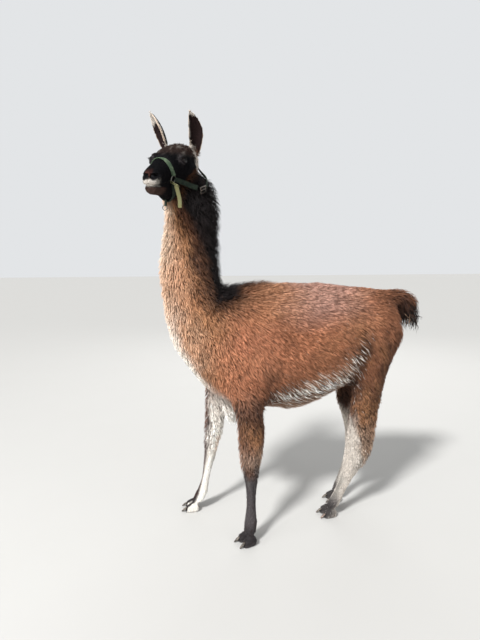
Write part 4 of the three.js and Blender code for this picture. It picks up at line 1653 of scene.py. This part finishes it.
    def join(self, name: str, which: Array) -> Object:
        """Builds one piece out of the locks at the given rows.

        Args:
            name: Name of the piece.
            which: Rows of its locks.

        Returns:
            The piece.
        """
        points, triangles, colours, patches, strands = [], [], [], [], []
        total = 0
        for rings in (2, 3, 4):
            rows = which[self.rings[which] == rings]
            if not len(rows):
                continue
            part = Strands(**{key: value[rows] for key, value in self.locks.items()}, rings=rings)
            shape, faces, t = part.shape()
            shape[:, 2] = np.maximum(shape[:, 2], self.floor_gap)
            size = 3 * rings + 1
            points.append(shape)
            triangles.append(faces + total)
            total += len(shape)
            # Plain locks are painted darker at the root and a little lighter at the tip, as painted
            # shade deep in the coat; tipped locks have truly dark roots and pale tips.
            shaded_roots = 0.82 + 0.20 * ramp(t, 0.0, 0.55) + 0.10 * t
            tipped = 0.30 + 1.05 * ramp(t, 0.10, 1.0)
            shade = shaded_roots + (tipped - shaded_roots) * np.repeat(self.tipped[rows], size)
            colours.append(np.repeat(self.colour[rows], size, axis=0) * shade[:, None])
            across = np.tile(np.array([0.0, 1.0, 0.5] * rings + [0.5]), len(rows))
            middle = (self.unwrap[self.faces[rows]] * self.weights[rows][:, :, None]).sum(axis=1)
            middle = np.clip(middle, self.patch, 1 - self.patch)
            patches.append(np.repeat(middle, size, axis=0)
                           + np.stack([across - 0.5, t - 0.5], axis=1) * self.patch)
            own = np.repeat(np.arange(len(rows)) % self.grain_rows, size)
            strands.append(np.stack([across + own, t], axis=1))
        mesh = mesh_of(name, np.concatenate(points), np.concatenate(triangles))
        dress_mesh(mesh, np.concatenate(colours), {
            "OFBake": np.concatenate(patches), "strand": np.concatenate(strands)})
        LOG.info("%s: %d locks, %d triangles", name, len(which), len(mesh.polygons))
        return place(name, mesh)


def dress_mesh(mesh: Mesh, colours: Array, maps: dict[str, Array]) -> None:
    """Stores colours and maps that are given for each point of a mesh.

    Args:
        mesh: The mesh.
        colours: Linear colours, one row for each point.
        maps: Maps by name, with one row for each point.
    """
    layer = mesh.color_attributes.new("coat_colour", "FLOAT_COLOR", "POINT")
    full = np.ones((len(colours), 4), np.float32)
    full[:, :3] = np.clip(colours, 0, 1)
    layer.data.foreach_set("color", full.ravel())
    corners = np.zeros(len(mesh.loops), np.int32)
    mesh.loops.foreach_get("vertex_index", corners)
    for name, places in maps.items():
        made = mesh.uv_layers.new(name=name)
        made.uv.foreach_set("vector", places[corners].astype(np.float32).ravel())


def unwrap_hide(made: Object) -> Array:
    """Unwraps the hide by its own shape into the map named OFBake.

    Args:
        made: The hide's object.

    Returns:
        Places of each triangle's corners on the map.
    """
    made.data.uv_layers.new(name="OFBake")
    bpy.context.view_layer.objects.active = made
    made.select_set(True)
    bpy.ops.object.mode_set(mode="EDIT")
    bpy.ops.mesh.select_all(action="SELECT")
    bpy.ops.uv.smart_project(angle_limit=math.radians(80), island_margin=0.004)
    bpy.ops.object.mode_set(mode="OBJECT")
    made.select_set(False)
    places = np.zeros(len(made.data.loops) * 2, np.float32)
    made.data.uv_layers["OFBake"].uv.foreach_get("vector", places)
    return places.reshape(-1, 3, 2).astype(float)


# ---- nails and halter ----
def finish_copy(name: str, copy: BMesh, crease: float, levels: int) -> Object:
    """Turns a merged copy of a CAD node into a rounded piece.

    Args:
        name: Name of the piece.
        copy: The copy, which is freed.
        crease: Edges sharper than this, in degrees, stay nearly sharp.
        levels: Subdivision levels.

    Returns:
        The piece, with its rounding applied.
    """
    layer = copy.edges.layers.float.get("crease_edge") or copy.edges.layers.float.new("crease_edge")
    for edge in copy.edges:
        if edge.is_manifold and edge.calc_face_angle(0.0) > math.radians(crease):
            edge[layer] = 0.85
    made = place_shape(name, copy)
    rounding = made.modifiers.new("rounding", "SUBSURF")
    rounding.levels = levels
    rounding.render_levels = levels
    return place(name, settle(made))


@dataclass
class Nails:
    """The two nails of each foot."""

    anatomy: Anatomy
    levels: int = 2

    def build(self) -> list[Object]:
        """Rounds each nail, in the order of NAILS.

        Returns:
            The nails.
        """
        made = []
        for node in NAILS:
            copy = node_copy(node)
            flats = [edge for edge in copy.edges
                     if edge.is_manifold and edge.calc_face_angle(0.0) < math.radians(1)]
            bmesh.ops.dissolve_edges(copy, edges=flats, use_verts=False)
            made.append(finish_copy(node.replace("nail", "toenail"), copy, 65, self.levels))
        return made


@dataclass
class Halter:
    """The webbing halter: straps, their stitched ends through the rings, rings and buckle."""

    anatomy: Anatomy
    band: float = 0.0016  # thickness of the webbing where it turns round a ring
    band_width: float = 0.017
    loop_width: float = 0.009  # of the narrow loop that holds the lead ring
    tuck: float = 0.011  # how far a turned end runs back along its strap
    lead_in: float = 0.002  # where a turned end leaves its strap, from the strap's end
    rest: float = 0.0017  # from the strap's middle to the band that lies on it
    turn_steps: int = 7
    turn_start: float = 0.2  # radians
    muzzle_height: float = -0.09  # middle of the muzzle's loop in the head's frame
    smooth_levels: int = 2
    bevel: float = 0.0005  # of the buckle's edges

    def straps(self) -> list[Object]:
        """Rounded straps, in the order of STRAPS."""
        return [finish_copy(node.replace("halter_", ""), node_copy(node), 50, self.smooth_levels)
                for node in STRAPS]

    def strap_end(self) -> Object:
        """The loose end that hangs below the near ring."""
        return finish_copy("strap_tongue", node_copy("halter_strap_end"), 50, self.smooth_levels)

    def rings(self) -> list[Object]:
        """The round rings, in the order of RINGS."""
        return [finish_copy(node.replace("halter_", ""), node_copy(node), 180, self.smooth_levels)
                for node in RINGS]

    def buckle(self) -> Object:
        """The buckle, with its edges rounded.

        Returns:
            The buckle.
        """
        copy = node_copy("halter_buckle")
        edges = [edge for edge in copy.edges
                 if edge.is_manifold and edge.calc_face_angle(0.0) > math.radians(40)]
        bmesh.ops.bevel(copy, geom=edges, offset=self.bevel, segments=2, profile=0.5, material=-1,
                        affect="EDGES")
        return place_shape("buckle", copy, smooth=False)

    def strap_stop(self, strap: str, target: Array) -> tuple[Array, Array]:
        """The end of a strap that is nearest to a target.

        Args:
            strap: Node of the strap.
            target: A point in the model's frame.

        Returns:
            The end's middle and its outward axis.
        """
        copy = node_copy(strap)
        corners = sorted((np.array(vertex.co) for vertex in copy.verts),
                         key=lambda corner: float(np.linalg.norm(corner - target)))[:4]
        copy.free()
        middle = np.mean(corners, axis=0)
        gaps = [corner - corners[0] for corner in corners[1:]]
        wide = unit(max(gaps, key=lambda gap: float(np.linalg.norm(gap))))
        head = self.anatomy.head
        out = middle - head.world((0, head.local(middle)[1], self.muzzle_height))
        return middle, unit(out - wide * (out @ wide))

    def turned_end(self, name: str, strap: str, ring: str) -> Object:
        """A strap's end turned round the wire of a ring and stitched back on itself."""
        stop, out = self.strap_stop(strap, Anatomy.centre(ring))
        return self.wrap(name, ring, stop, out, self.band_width)

    def lead_loop(self) -> Object:
        """The narrow loop of webbing that hangs the lead ring from the chin strap.

        Returns:
            The loop.
        """
        ring = "halter_lead_ring"
        strap = node_copy("halter_chin_strap")
        tree = BVHTree.FromBMesh(strap)
        stop = np.array(tree.find_nearest(Vector(Anatomy.centre(ring)))[0])
        strap.free()
        return self.wrap("lead_loop", ring, stop, self.anatomy.head.turn[:, 1], self.loop_width)

    def wrap(self, name: str, ring: str, stop: Array, out: Array, width: float) -> Object:
        """A band that runs from a strap round the wire of a ring and back.

        Args:
            name: Name of the piece.
            ring: Node of the ring.
            stop: Where the band leaves the strap.
            out: Axis across the band's flat face.
            width: Width of the band.

        Returns:
            The rounded piece.
        """
        heart = Anatomy.centre(ring)
        points = np.array([vertex.co[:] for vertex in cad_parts[ring].data.vertices])
        axis = np.linalg.svd(points - points.mean(axis=0), full_matrices=False)[2][2]
        reach = np.linalg.norm(points - heart, axis=1)
        radius, wire = (reach.max() + reach.min()) / 2, (reach.max() - reach.min()) / 2
        to_stop = stop - heart
        to_stop = unit(to_stop - axis * (to_stop @ axis))
        bar = heart + to_stop * radius
        ahead = unit(bar - stop)
        out = unit(out - ahead * (out @ ahead))
        across = np.cross(ahead, out)
        round_wire = wire + self.band * 0.6
        over, back = ([stop - ahead * run + out * rest for run in (self.tuck, self.lead_in)]
                      for rest in (self.rest, -self.rest))
        turns = np.linspace(self.turn_start, math.pi - self.turn_start, self.turn_steps)
        bend = [bar + round_wire * (ahead * math.sin(turn) + out * math.cos(turn))
                for turn in turns]
        return self.ribbon(name, np.array([*over, *bend, *back[::-1]]), across, width)

    def ribbon(self, name: str, path: Array, across: Array, width: float) -> Object:
        """A flat band along a path.

        Args:
            name: Name of the piece.
            path: Points of the band's middle, one row each.
            across: Axis of its width.
            width: Its width.

        Returns:
            The rounded piece.
        """
        ways = unit(np.gradient(path, axis=0))
        half = across * width / 2
        rows = [[point + a * half + b * thick for a, b in ((1, 1), (1, -1), (-1, -1), (-1, 1))]
                for point, thick in zip(path, np.cross(ways, across) * self.band / 2)]
        band = bmesh.new()
        ends = [band.faces.new([band.verts.new(corner) for corner in rows[0]])]
        for row in rows[1:]:
            grown = bmesh.ops.extrude_face_region(band, geom=ends[-1:])["geom"]
            ends.append(next(part for part in grown if isinstance(part, BMFace)))
            for corner, vertex in zip(row, ends[-1].verts):
                vertex.co = corner
        bmesh.ops.delete(band, geom=ends[1:-1], context="FACES_ONLY")
        bmesh.ops.recalc_face_normals(band, faces=band.faces)
        return finish_copy(name, band, 60, self.smooth_levels)

    def turned_ends(self) -> list[Object]:
        """All stitched ends, at the two side rings.

        Returns:
            The ends of the nose, cheek and chin straps and of the loose end.
        """
        made = []
        for side in ("left", "right"):
            ring = f"halter_ring_{side}"
            for strap in ("nose_strap", f"cheek_strap_{side}", "chin_strap"):
                name = f"turned_end_{strap.split('_')[0]}_{side}"
                made.append(self.turned_end(name, f"halter_{strap}", ring))
        made.append(self.turned_end("turned_end_tongue", "halter_strap_end", "halter_ring_left"))
        return made


# ---- finishes ----
class Graph:
    """Short ways to add nodes to one tree and to join them."""

    def __init__(self, tree: NodeTree) -> None:
        """Keeps the tree to work on."""
        self.tree = tree

    def put(self, socket: NodeSocket, value: object) -> None:
        """Links a socket to another one, or sets its own value.

        Args:
            socket: An input's socket.
            value: The other socket, or the value.
        """
        if isinstance(value, NodeSocket):
            self.tree.links.new(value, socket)
        else:
            socket.default_value = value

    def add(self, kind: str, settings: dict[str, object] | None = None,
            **inputs: object) -> Node:
        """Adds a node.

        Args:
            kind: The node's type, without ShaderNode.
            settings: Properties to set on it.
            **inputs: Values or sockets for its inputs, with _ for a space in a name.

        Returns:
            The node.
        """
        node = self.tree.nodes.new(f"ShaderNode{kind}")
        for key, value in (settings or {}).items():
            setattr(node, key, value)
        self.feed(node, **inputs)
        return node

    def feed(self, node: Node, **inputs: object) -> None:
        """Gives inputs of a node their values or sockets, with _ for a space in a name."""
        for name, value in inputs.items():
            self.put(node.inputs[name.replace("_", " ")], value)

    def blend(self, amount: object, a: object, b: object, how: str = "MIX") -> NodeSocket:
        """Mixes two colours.

        Args:
            amount: Share of the second colour.
            a: The first colour.
            b: The second colour.
            how: Way of mixing.

        Returns:
            The result's socket.
        """
        node = self.add("Mix", {"data_type": "RGBA", "blend_type": how})
        for socket, value in zip((node.inputs[0], node.inputs[6], node.inputs[7]), (amount, a, b)):
            self.put(socket, value)
        return node.outputs[2]

    def remap(self, value: object, low: float, high: float) -> NodeSocket:
        """Moves a value from the range 0 to 1 to the range low to high."""
        return self.add("MapRange", Value=value, To_Min=low, To_Max=high).outputs[0]

    def pick(self, value: object, start: float, end: float) -> NodeSocket:
        """Mask that rises from 0 at start to 1 at end.

        Args:
            value: The value.
            start: Where the mask is 0.
            end: Where it is 1.

        Returns:
            The mask's socket.
        """
        node = self.add("MapRange", {"interpolation_type": "SMOOTHSTEP"}, Value=value,
                        From_Min=start, From_Max=end)
        return node.outputs[0]

    def bump(self, height: object, strength: float, distance: float) -> NodeSocket:
        """Normal of a bumpy surface."""
        return self.add("Bump", Height=height, Strength=strength, Distance=distance).outputs[0]

    def group(self, tree: NodeTree, **inputs: object) -> Node:
        """Places a shared effect.

        Args:
            tree: The effect.
            **inputs: Values or sockets for its inputs.

        Returns:
            Its node.
        """
        node = self.tree.nodes.new("ShaderNodeGroup")
        node.node_tree = tree
        self.feed(node, **inputs)
        return node


def rgba(shade: str) -> tuple[float, float, float, float]:
    """Linear colour with full alpha of a hex code."""
    return (*map(float, linear(shade)), 1.0)


def grain_effect() -> NodeTree:
    """Shared effect: uneven grain, which Stretch draws out along one way.

    Returns:
        The effect, as a node group that puts out Tone.
    """
    tree = bpy.data.node_groups.new("grain", "ShaderNodeTree")
    graph = Graph(tree)
    for name, kind in (("Place", "NodeSocketVector"), ("Stretch", "NodeSocketVector"),
                       ("Turn", "NodeSocketVector")):
        tree.interface.new_socket(name=name, in_out="INPUT", socket_type=kind)
    tree.interface.new_socket(name="Tone", in_out="OUTPUT", socket_type="NodeSocketFloat")
    source = tree.nodes.new("NodeGroupInput")
    result = tree.nodes.new("NodeGroupOutput")
    turned = graph.add("Mapping", Vector=source.outputs["Place"], Rotation=source.outputs["Turn"])
    stretched = graph.add("VectorMath", {"operation": "MULTIPLY"})
    graph.put(stretched.inputs[0], turned.outputs[0])
    graph.put(stretched.inputs[1], source.outputs["Stretch"])
    noisy = graph.add("TexNoise", Vector=stretched.outputs[0], Scale=1.0, Detail=3.0, Roughness=0.6)
    graph.put(result.inputs["Tone"], noisy.outputs["Fac"])
    return tree


class Bench(Graph):
    """The nodes of one material: its shader, the place on the model and the shared grain."""

    def __init__(self, material: Material, grain: NodeTree) -> None:
        """Starts a material's nodes.

        Args:
            material: The material.
            grain: The shared grain effect.
        """
        super().__init__(material.node_tree)
        self.shader = material.node_tree.nodes["Principled BSDF"]
        self.where = self.add("TexCoord").outputs["Object"]
        self.grain = grain

    def shade(self, **inputs: object) -> None:
        """Gives inputs of the shader their values or sockets."""
        self.feed(self.shader, **inputs)

    def tone(self, *stretch: float, turn: Triple = (0, 0, 0),
             at: NodeSocket | None = None) -> NodeSocket:
        """Tone of the grain.

        Args:
            *stretch: Knots in a metre along each axis.
            turn: Turn of the pattern about each axis, in radians.
            at: Where to read it, or None for the place on the model.

        Returns:
            The tone's socket.
        """
        place_now = self.where if at is None else at
        return self.group(self.grain, Place=place_now, Stretch=stretch, Turn=turn).outputs[0]

    def painted(self, name: str) -> NodeSocket:
        """Colour that the mesh carries under a name."""
        return self.add("Attribute", {"attribute_name": name}).outputs["Color"]

    def toned(self, colour: object, tone: NodeSocket, swing: float) -> NodeSocket:
        """A colour made darker and paler by a tone."""
        return self.blend(1.0, colour, self.remap(tone, 1 - swing, 1 + swing), "MULTIPLY")


@dataclass(frozen=True)
class Finish:
    """A finish that any piece can take. Subclasses say how its nodes are made."""

    name: str
    roughness: float = 0.6
    specular: float = 0.4

    def make(self, grain: NodeTree) -> Material:
        """Makes the material.

        Args:
            grain: The shared grain effect.

        Returns:
            The material.
        """
        material = bpy.data.materials.new(self.name)
        material.use_nodes = True
        bench = Bench(material, grain)
        bench.shade(Roughness=self.roughness, Specular_IOR_Level=self.specular)
        self.weave(bench)
        return material

    def weave(self, bench: Bench) -> None:
        """Adds the nodes of the finish to a material."""
        raise NotImplementedError


@dataclass(frozen=True)
class HairFinish(Finish):
    """Hair of a lock: its own colour with fine lines along it."""

    contrast: float = 0.38
    gloss_swing: float = 0.12

    def weave(self, bench: Bench) -> None:
        """Adds lines in tone, gloss and relief along each lock.

        Args:
            bench: The material's nodes.
        """
        strand = bench.add("UVMap", {"uv_map": "strand"}).outputs[0]
        lines = bench.tone(5.0, 1.3, 1.0, at=strand)
        bench.shade(
            Base_Color=bench.toned(bench.painted("coat_colour"), lines, self.contrast),
            Roughness=bench.remap(lines, self.roughness - self.gloss_swing,
                                  self.roughness + self.gloss_swing),
            Normal=bench.bump(lines, 0.35, 0.0008))


@dataclass(frozen=True)
class HideFinish(Finish):
    """Skin and short flat fur, streaked along the lie of the hair."""

    head_turn: Triple = (0.0, 0.0, 0.0)
    contrast: float = 0.45
    gloss_swing: float = 0.10
    wet_roughness: float = 0.45

    def weave(self, bench: Bench) -> None:
        """Adds streaks along the head and down the legs, and wet lips and nostrils.

        Args:
            bench: The material's nodes.
        """
        marks = bench.add("SeparateColor", Color=bench.painted("hide_marks"))
        on_head, wet = marks.outputs[0], marks.outputs[1]
        streaks = bench.add("Mix", Factor=on_head, A=bench.tone(900, 900, 200),
                            B=bench.tone(900, 230, 900, turn=self.head_turn)).outputs[0]
        dry = bench.remap(streaks, self.roughness - self.gloss_swing,
                          self.roughness + self.gloss_swing)
        bench.shade(
            Base_Color=bench.toned(bench.painted("coat_colour"), streaks, self.contrast),
            Roughness=bench.add("Mix", Factor=wet, A=dry, B=self.wet_roughness).outputs[0],
            Normal=bench.bump(streaks, 0.55, 0.0012))


@dataclass(frozen=True)
class WebbingFinish(Finish):
    """Woven webbing, worn paler in places."""

    thread: str = "62745b"
    shadow: str = "2c3f2d"
    worn: str = "8b9a7c"
    head_turn: Triple = (0.0, 0.0, 0.0)
    pitch: float = 480.0  # threads in a metre, over a wave's own period
    tilt: float = 0.7  # slant of the threads, in radians
    fading: float = 0.45

    def weave(self, bench: Bench) -> None:
        """Adds two sets of slanting threads that cross, and wear.

        Args:
            bench: The material's nodes.
        """
        turned = bench.add("Mapping", Vector=bench.where, Rotation=self.head_turn).outputs[0]
        crossed = bench.add("Math", {"operation": "MULTIPLY"})
        for socket, tilt in zip(crossed.inputs, (self.tilt, -self.tilt)):
            slanted = bench.add("Mapping", Vector=turned, Rotation=(tilt, tilt * 0.4, 0)).outputs[0]
            wave = bench.add("TexWave", {"bands_direction": "Z"}, Vector=slanted,
                             Scale=self.pitch, Distortion=0.4)
            bench.put(socket, wave.outputs["Fac"])
        threads = crossed.outputs[0]
        base = bench.blend(threads, rgba(self.shadow), rgba(self.thread))
        faded = bench.blend(bench.pick(bench.tone(70, 70, 70), 0.45, 0.75), base, rgba(self.worn))
        bench.shade(
            Base_Color=bench.blend(self.fading, base, faded),
            Roughness=bench.remap(threads, 0.85, 0.62),
            Normal=bench.bump(threads, 0.5, 0.0006))


@dataclass(frozen=True)
class MetalFinish(Finish):
    """Bright metal, dulled and scratched by use."""

    bright: str = "8f8d88"
    dull: str = "55524d"

    def weave(self, bench: Bench) -> None:
        """Adds dull patches and fine scratches.

        Args:
            bench: The material's nodes.
        """
        dulled = bench.pick(bench.tone(260, 260, 260), 0.42, 0.66)
        bench.shade(
            Base_Color=bench.blend(dulled, rgba(self.bright), rgba(self.dull)),
            Metallic=1.0,
            Roughness=bench.remap(dulled, 0.24, 0.46),
            Normal=bench.bump(bench.tone(3000, 400, 900), 0.15, 0.0003))


@dataclass(frozen=True)
class HornFinish(Finish):
    """Nail horn with growth lines, darker towards its root."""

    pale: str = "736b61"
    deep: str = "332d2a"
    contrast: float = 0.3

    def weave(self, bench: Bench) -> None:
        """Adds growth lines and stains.

        Args:
            bench: The material's nodes.
        """
        lines = bench.tone(120, 1500, 260, turn=(0.5, 0, 0))
        stains = bench.pick(bench.tone(140, 140, 140), 0.35, 0.65)
        bench.shade(
            Base_Color=bench.toned(
                bench.blend(stains, rgba(self.deep), rgba(self.pale)), lines, self.contrast),
            Roughness=bench.remap(lines, 0.35, 0.62),
            Normal=bench.bump(lines, 0.35, 0.0006))


@dataclass(frozen=True)
class EyeFinish(Finish):
    """Dark brown eye with a wide pupil lying level, under a clear wet layer."""

    iris: tuple[str, str] = ("0c0706", "1a0f0a")
    pupil: str = "020202"
    iris_edge: str = "060404"
    white: str = "120d0b"

    def weave(self, bench: Bench) -> None:
        """Adds the pupil, the iris with its fibres, and the dark edge around it.

        Args:
            bench: The material's nodes.
        """
        spot = bench.add("UVMap", {"uv_map": "iris"}).outputs[0]
        centred = bench.add("Mapping", Vector=spot, Location=(-0.5, -0.5, 0)).outputs[0]
        squeezed = bench.add("Mapping", Vector=centred, Scale=(0.62, 1.35, 1.0)).outputs[0]
        radius, slot = (
            bench.add("VectorMath", {"operation": "LENGTH"}, Vector=place_now).outputs["Value"]
            for place_now in (centred, squeezed))
        fibres = bench.tone(900, 900, 900)
        colour = bench.blend(bench.pick(fibres, 0.35, 0.65), *map(rgba, self.iris))
        for mask, shade in ((bench.pick(slot, 0.135, 0.115), self.pupil),
                            (bench.pick(radius, 0.30, 0.38), self.iris_edge),
                            (bench.pick(radius, 0.40, 0.47), self.white)):
            colour = bench.blend(mask, colour, rgba(shade))
        bench.shade(Base_Color=colour, Roughness=bench.remap(fibres, 0.05, 0.12),
                    Coat_Weight=0.25, Coat_Roughness=0.02)


@dataclass(frozen=True)
class WetSkinFinish(Finish):
    """Dark moist skin of the lids' edges."""

    deep: str = "0a0707"
    pale: str = "161010"

    def weave(self, bench: Bench) -> None:
        """Adds fine creases.

        Args:
            bench: The material's nodes.
        """
        creases = bench.tone(1300, 1300, 1300)
        bench.shade(
            Base_Color=bench.blend(creases, rgba(self.deep), rgba(self.pale)),
            Roughness=bench.remap(creases, 0.30, 0.55),
            Normal=bench.bump(creases, 0.3, 0.0004))


@dataclass(frozen=True)
class FloorFinish(Finish):
    """Plain pale studio floor."""

    tone: str = "c0bfbc"
    shaded: str = "b9b7b3"

    def weave(self, bench: Bench) -> None:
        """Adds a faint unevenness."""
        uneven = bench.remap(bench.tone(3, 3, 3), 0.0, 0.25)
        bench.shade(Base_Color=bench.blend(uneven, rgba(self.tone), rgba(self.shaded)))


# ---- studio ----
@dataclass
class Studio:
    """Floor, soft light and camera."""

    anatomy: Anatomy
    floor_size: float = 60.0
    camera_place: Triple = (2.05, -0.619, 1.2)  # from the body's origin
    camera_way: tuple[float, float] = (-0.977, 0.215)
    camera_drop: float = 7.35  # degrees
    lens: float = 27.06  # mm
    sensor: float = 36.0  # mm
    chest_height: float = 0.85
    key_way: Triple = (0.62, -0.62, 0.85)
    key_strength: float = 4.3
    key_spread: float = 9.0
    sky_light: float = 0.62  # brightness as a light
    sky_seen: float = 1.04  # brightness behind the animal

    def build(self, floor_finish: Material) -> None:
        """Makes the floor, the lights, the world and the camera.

        Args:
            floor_finish: The floor's material.
        """
        self.floor(floor_finish)
        self.sun()
        self.lamp("fill", (4.0, 2.6, 2.2), size=3.5, watts=30.0)
        self.lamp("front", (1.5, -3.3, 1.0), size=2.0, watts=65.0)
        self.lamp("back", (-3.6, 1.5, 3.4), size=3.0, watts=55.0)
        self.sky()
        self.camera()
        bpy.context.scene.view_settings.view_transform = "Standard"

    def floor(self, finish: Material) -> None:
        """The plain floor at the height of the feet.

        Args:
            finish: Its material.
        """
        grid = bmesh.new()
        bmesh.ops.create_grid(grid, x_segments=4, y_segments=4, size=self.floor_size / 2)
        made = place_shape("studio_floor", grid)
        made.data.materials.append(finish)

    def lamp(self, name: str, where: Triple, size: float, watts: float) -> None:
        """A square soft light that shines at the animal's chest.

        Args:
            name: The light's name.
            where: Its place.
            size: Length of its sides.
            watts: Its power.
        """
        light = bpy.data.lights.new(name, "AREA")
        light.size = size
        light.energy = watts
        made = show(name, light)
        made.location = where
        self.aim(made, Vector((0.0, 0.0, self.chest_height)) - made.location)

    @staticmethod
    def aim(made: Object, way: Vector) -> None:
        """Turns a light or camera to look along a way, with its top up."""
        made.rotation_euler = way.to_track_quat("-Z", "Y").to_euler()

    def sun(self) -> None:
        """The broad, soft key light, from high up in front of the animal's left side."""
        light = bpy.data.lights.new("key", "SUN")
        light.energy = self.key_strength
        light.angle = math.radians(self.key_spread)
        self.aim(show("key", light), -Vector(self.key_way))

    def sky(self) -> None:
        """An even pale surround."""
        world = bpy.data.worlds.new("surround")
        world.use_nodes = True
        background = world.node_tree.nodes["Background"]
        background.inputs["Color"].default_value = rgba("dfe1e3")
        graph = Graph(world.node_tree)
        seen = graph.add("LightPath").outputs["Is Camera Ray"]
        graph.put(background.inputs["Strength"], graph.remap(seen, self.sky_light, self.sky_seen))
        bpy.context.scene.world = world

    def camera(self) -> None:
        """The camera, at a person's height in front of the animal's left shoulder."""
        camera = bpy.data.cameras.new("view")
        camera.lens = self.lens
        camera.sensor_width = self.sensor
        made = show("view", camera)
        drop = math.radians(self.camera_drop)
        level = Vector((*self.camera_way, 0.0)).normalized() * math.cos(drop)
        made.location = Vector(self.anatomy.body.origin) + Vector(self.camera_place)
        self.aim(made, level - Vector((0, 0, math.sin(drop))))
        bpy.context.scene.camera = made


# ---- assembly ----
class Llama:
    """The whole model: builds each part in order and dresses it."""

    # The skin takes the coat's colour darkened: painted shade deep among the locks.
    SKIN_SHADE = 0.72  # brightness of the skin's colour beside the coat's

    def __init__(self) -> None:
        """Finds the landmarks and makes the finishes."""
        self.anatomy = Anatomy()
        self.grain = grain_effect()
        turn = Matrix(self.anatomy.head.turn.tolist()).transposed().to_euler()
        head_turn = tuple(turn)
        self.finishes = {finish.name: finish.make(self.grain) for finish in (
            HairFinish("hair", 0.62, 0.28), HairFinish("dark_hair", 0.72, 0.06),
            HideFinish("hide", 0.72, 0.08, head_turn),
            WebbingFinish("webbing", 0.75, 0.3, head_turn=head_turn),
            # A darker copy of the webbing: painted shade on the straps away from the nose.
            WebbingFinish("webbing_dark", 0.8, 0.2, "34423a", "182019", "46523f", head_turn),
            WebbingFinish("webbing_pale", 0.75, 0.3, "bdb98a", "77754c", "8b9a7c", head_turn),
            MetalFinish("metal", 0.3, 0.5), HornFinish("horn", 0.5, 0.4),
            HornFinish("horn_dusty", 0.6, 0.3, "8c7a70", "4d423c"),
            EyeFinish("eye", 0.08, 0.2), WetSkinFinish("wet_skin", 0.3, 0.2),
            FloorFinish("floor", 0.85, 0.2))}

    def dress(self, piece: Object, finish: str, slot: str, *nodes: str) -> None:
        """Gives a piece its finish, hangs it from the root and hides the nodes that it stands for.

        Args:
            piece: The piece.
            finish: Name of its finish.
            slot: A material slot of the record; it is not used.
            *nodes: CAD nodes that it stands for.
        """
        piece.data.materials.clear()
        piece.data.materials.append(self.finishes[finish])
        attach(piece, "root")
        if nodes:
            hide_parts(*nodes)
        LOG.info("%s: %d faces", piece.name, len(piece.data.polygons))

    def build(self) -> None:
        """Builds everything."""
        hide = Hide(self.anatomy)
        hide.build()
        skin = place("hide", mesh_of("hide", hide.sheet.points, hide.sheet.triangles))
        unwrap = unwrap_hide(skin)
        # The skin's colour is the coat's, darkened as painted shade.
        dress_mesh(skin.data, hide.plan.colour * self.SKIN_SHADE, {})
        mark_hide(skin.data, hide)
        self.dress(skin, "hide", "body_wool", *FLESH)
        for piece in Coat(hide, unwrap).build():
            part = piece.name.split("_")[1]
            finish = "dark_hair" if part in ("head", "ears", "feet") else "hair"
            self.dress(piece, finish, COAT_SLOTS[part])
        self.build_eyes()
        self.build_nails()
        self.build_halter()
        Studio(self.anatomy).build(self.finishes["floor"])

    def build_eyes(self) -> None:
        """Eyeballs and the edges of the lids."""
        for side in (1, -1):
            eye = Eye(self.anatomy, side)
            self.dress(eye.ball(), "eye", "eye", f"eye_{eye.name}")
            self.dress(eye.rims(), "wet_skin", "dark_coat")
            self.dress(eye.lashes(), "dark_hair", "dark_coat")

    def build_nails(self) -> None:
        """Toenails, of which one is dusty."""
        for node, piece in zip(NAILS, Nails(self.anatomy).build()):
            finish = "horn_dusty" if node == "nail_hindfoot_left_outer" else "horn"
            self.dress(piece, finish, "nail_horn", node)

    @staticmethod
    def strap_finish(name: str) -> str:
        """Finish of a strap or its turned end: the lighter webbing over the nose, and elsewhere a
        darker copy as painted shade.

        Args:
            name: Name of the piece or its node.

        Returns:
            The finish's name.
        """
        if name.endswith("tongue"):
            return "webbing_pale"
        return "webbing" if "nose" in name else "webbing_dark"

    def build_halter(self) -> None:
        """Straps, their turned ends, rings and buckle."""
        halter = Halter(self.anatomy)
        for node, piece in zip(STRAPS, halter.straps()):
            self.dress(piece, self.strap_finish(node), "webbing", node)
        self.dress(halter.strap_end(), "webbing_pale", "webbing", "halter_strap_end")
        for piece in halter.turned_ends():
            self.dress(piece, self.strap_finish(piece.name), "webbing")
        self.dress(halter.lead_loop(), "webbing_dark", "webbing")
        for node, piece in zip(RINGS, halter.rings()):
            self.dress(piece, "metal", "steel", node)
        self.dress(halter.buckle(), "metal", "steel", "halter_buckle")


def mark_hide(mesh: Mesh, hide: Hide) -> None:
    """Stores on the hide where the head is and where the skin is wet.

    Args:
        mesh: The hide's mesh.
        hide: The skin that it was made from.
    """
    layer = mesh.color_attributes.new("hide_marks", "FLOAT_COLOR", "POINT")
    marks = np.zeros((len(hide.sheet.points), 4), np.float32)
    marks[:, 0] = np.clip(hide.of(Region.HEAD) + hide.of(Region.EAR), 0, 1)
    marks[:, 1] = np.maximum(ramp(hide.plan.nostrils, 1.6, 1.0), ramp(hide.plan.lids, 7.0, 2.0))
    marks[:, 3] = 1.0
    layer.data.foreach_set("color", marks.ravel())


def main() -> None:
    """Builds the model."""
    logging.basicConfig(level=logging.INFO, format="%(relativeCreated)d ms %(message)s", force=True)
    Llama().build()


if __name__ == "__main__":
    main()
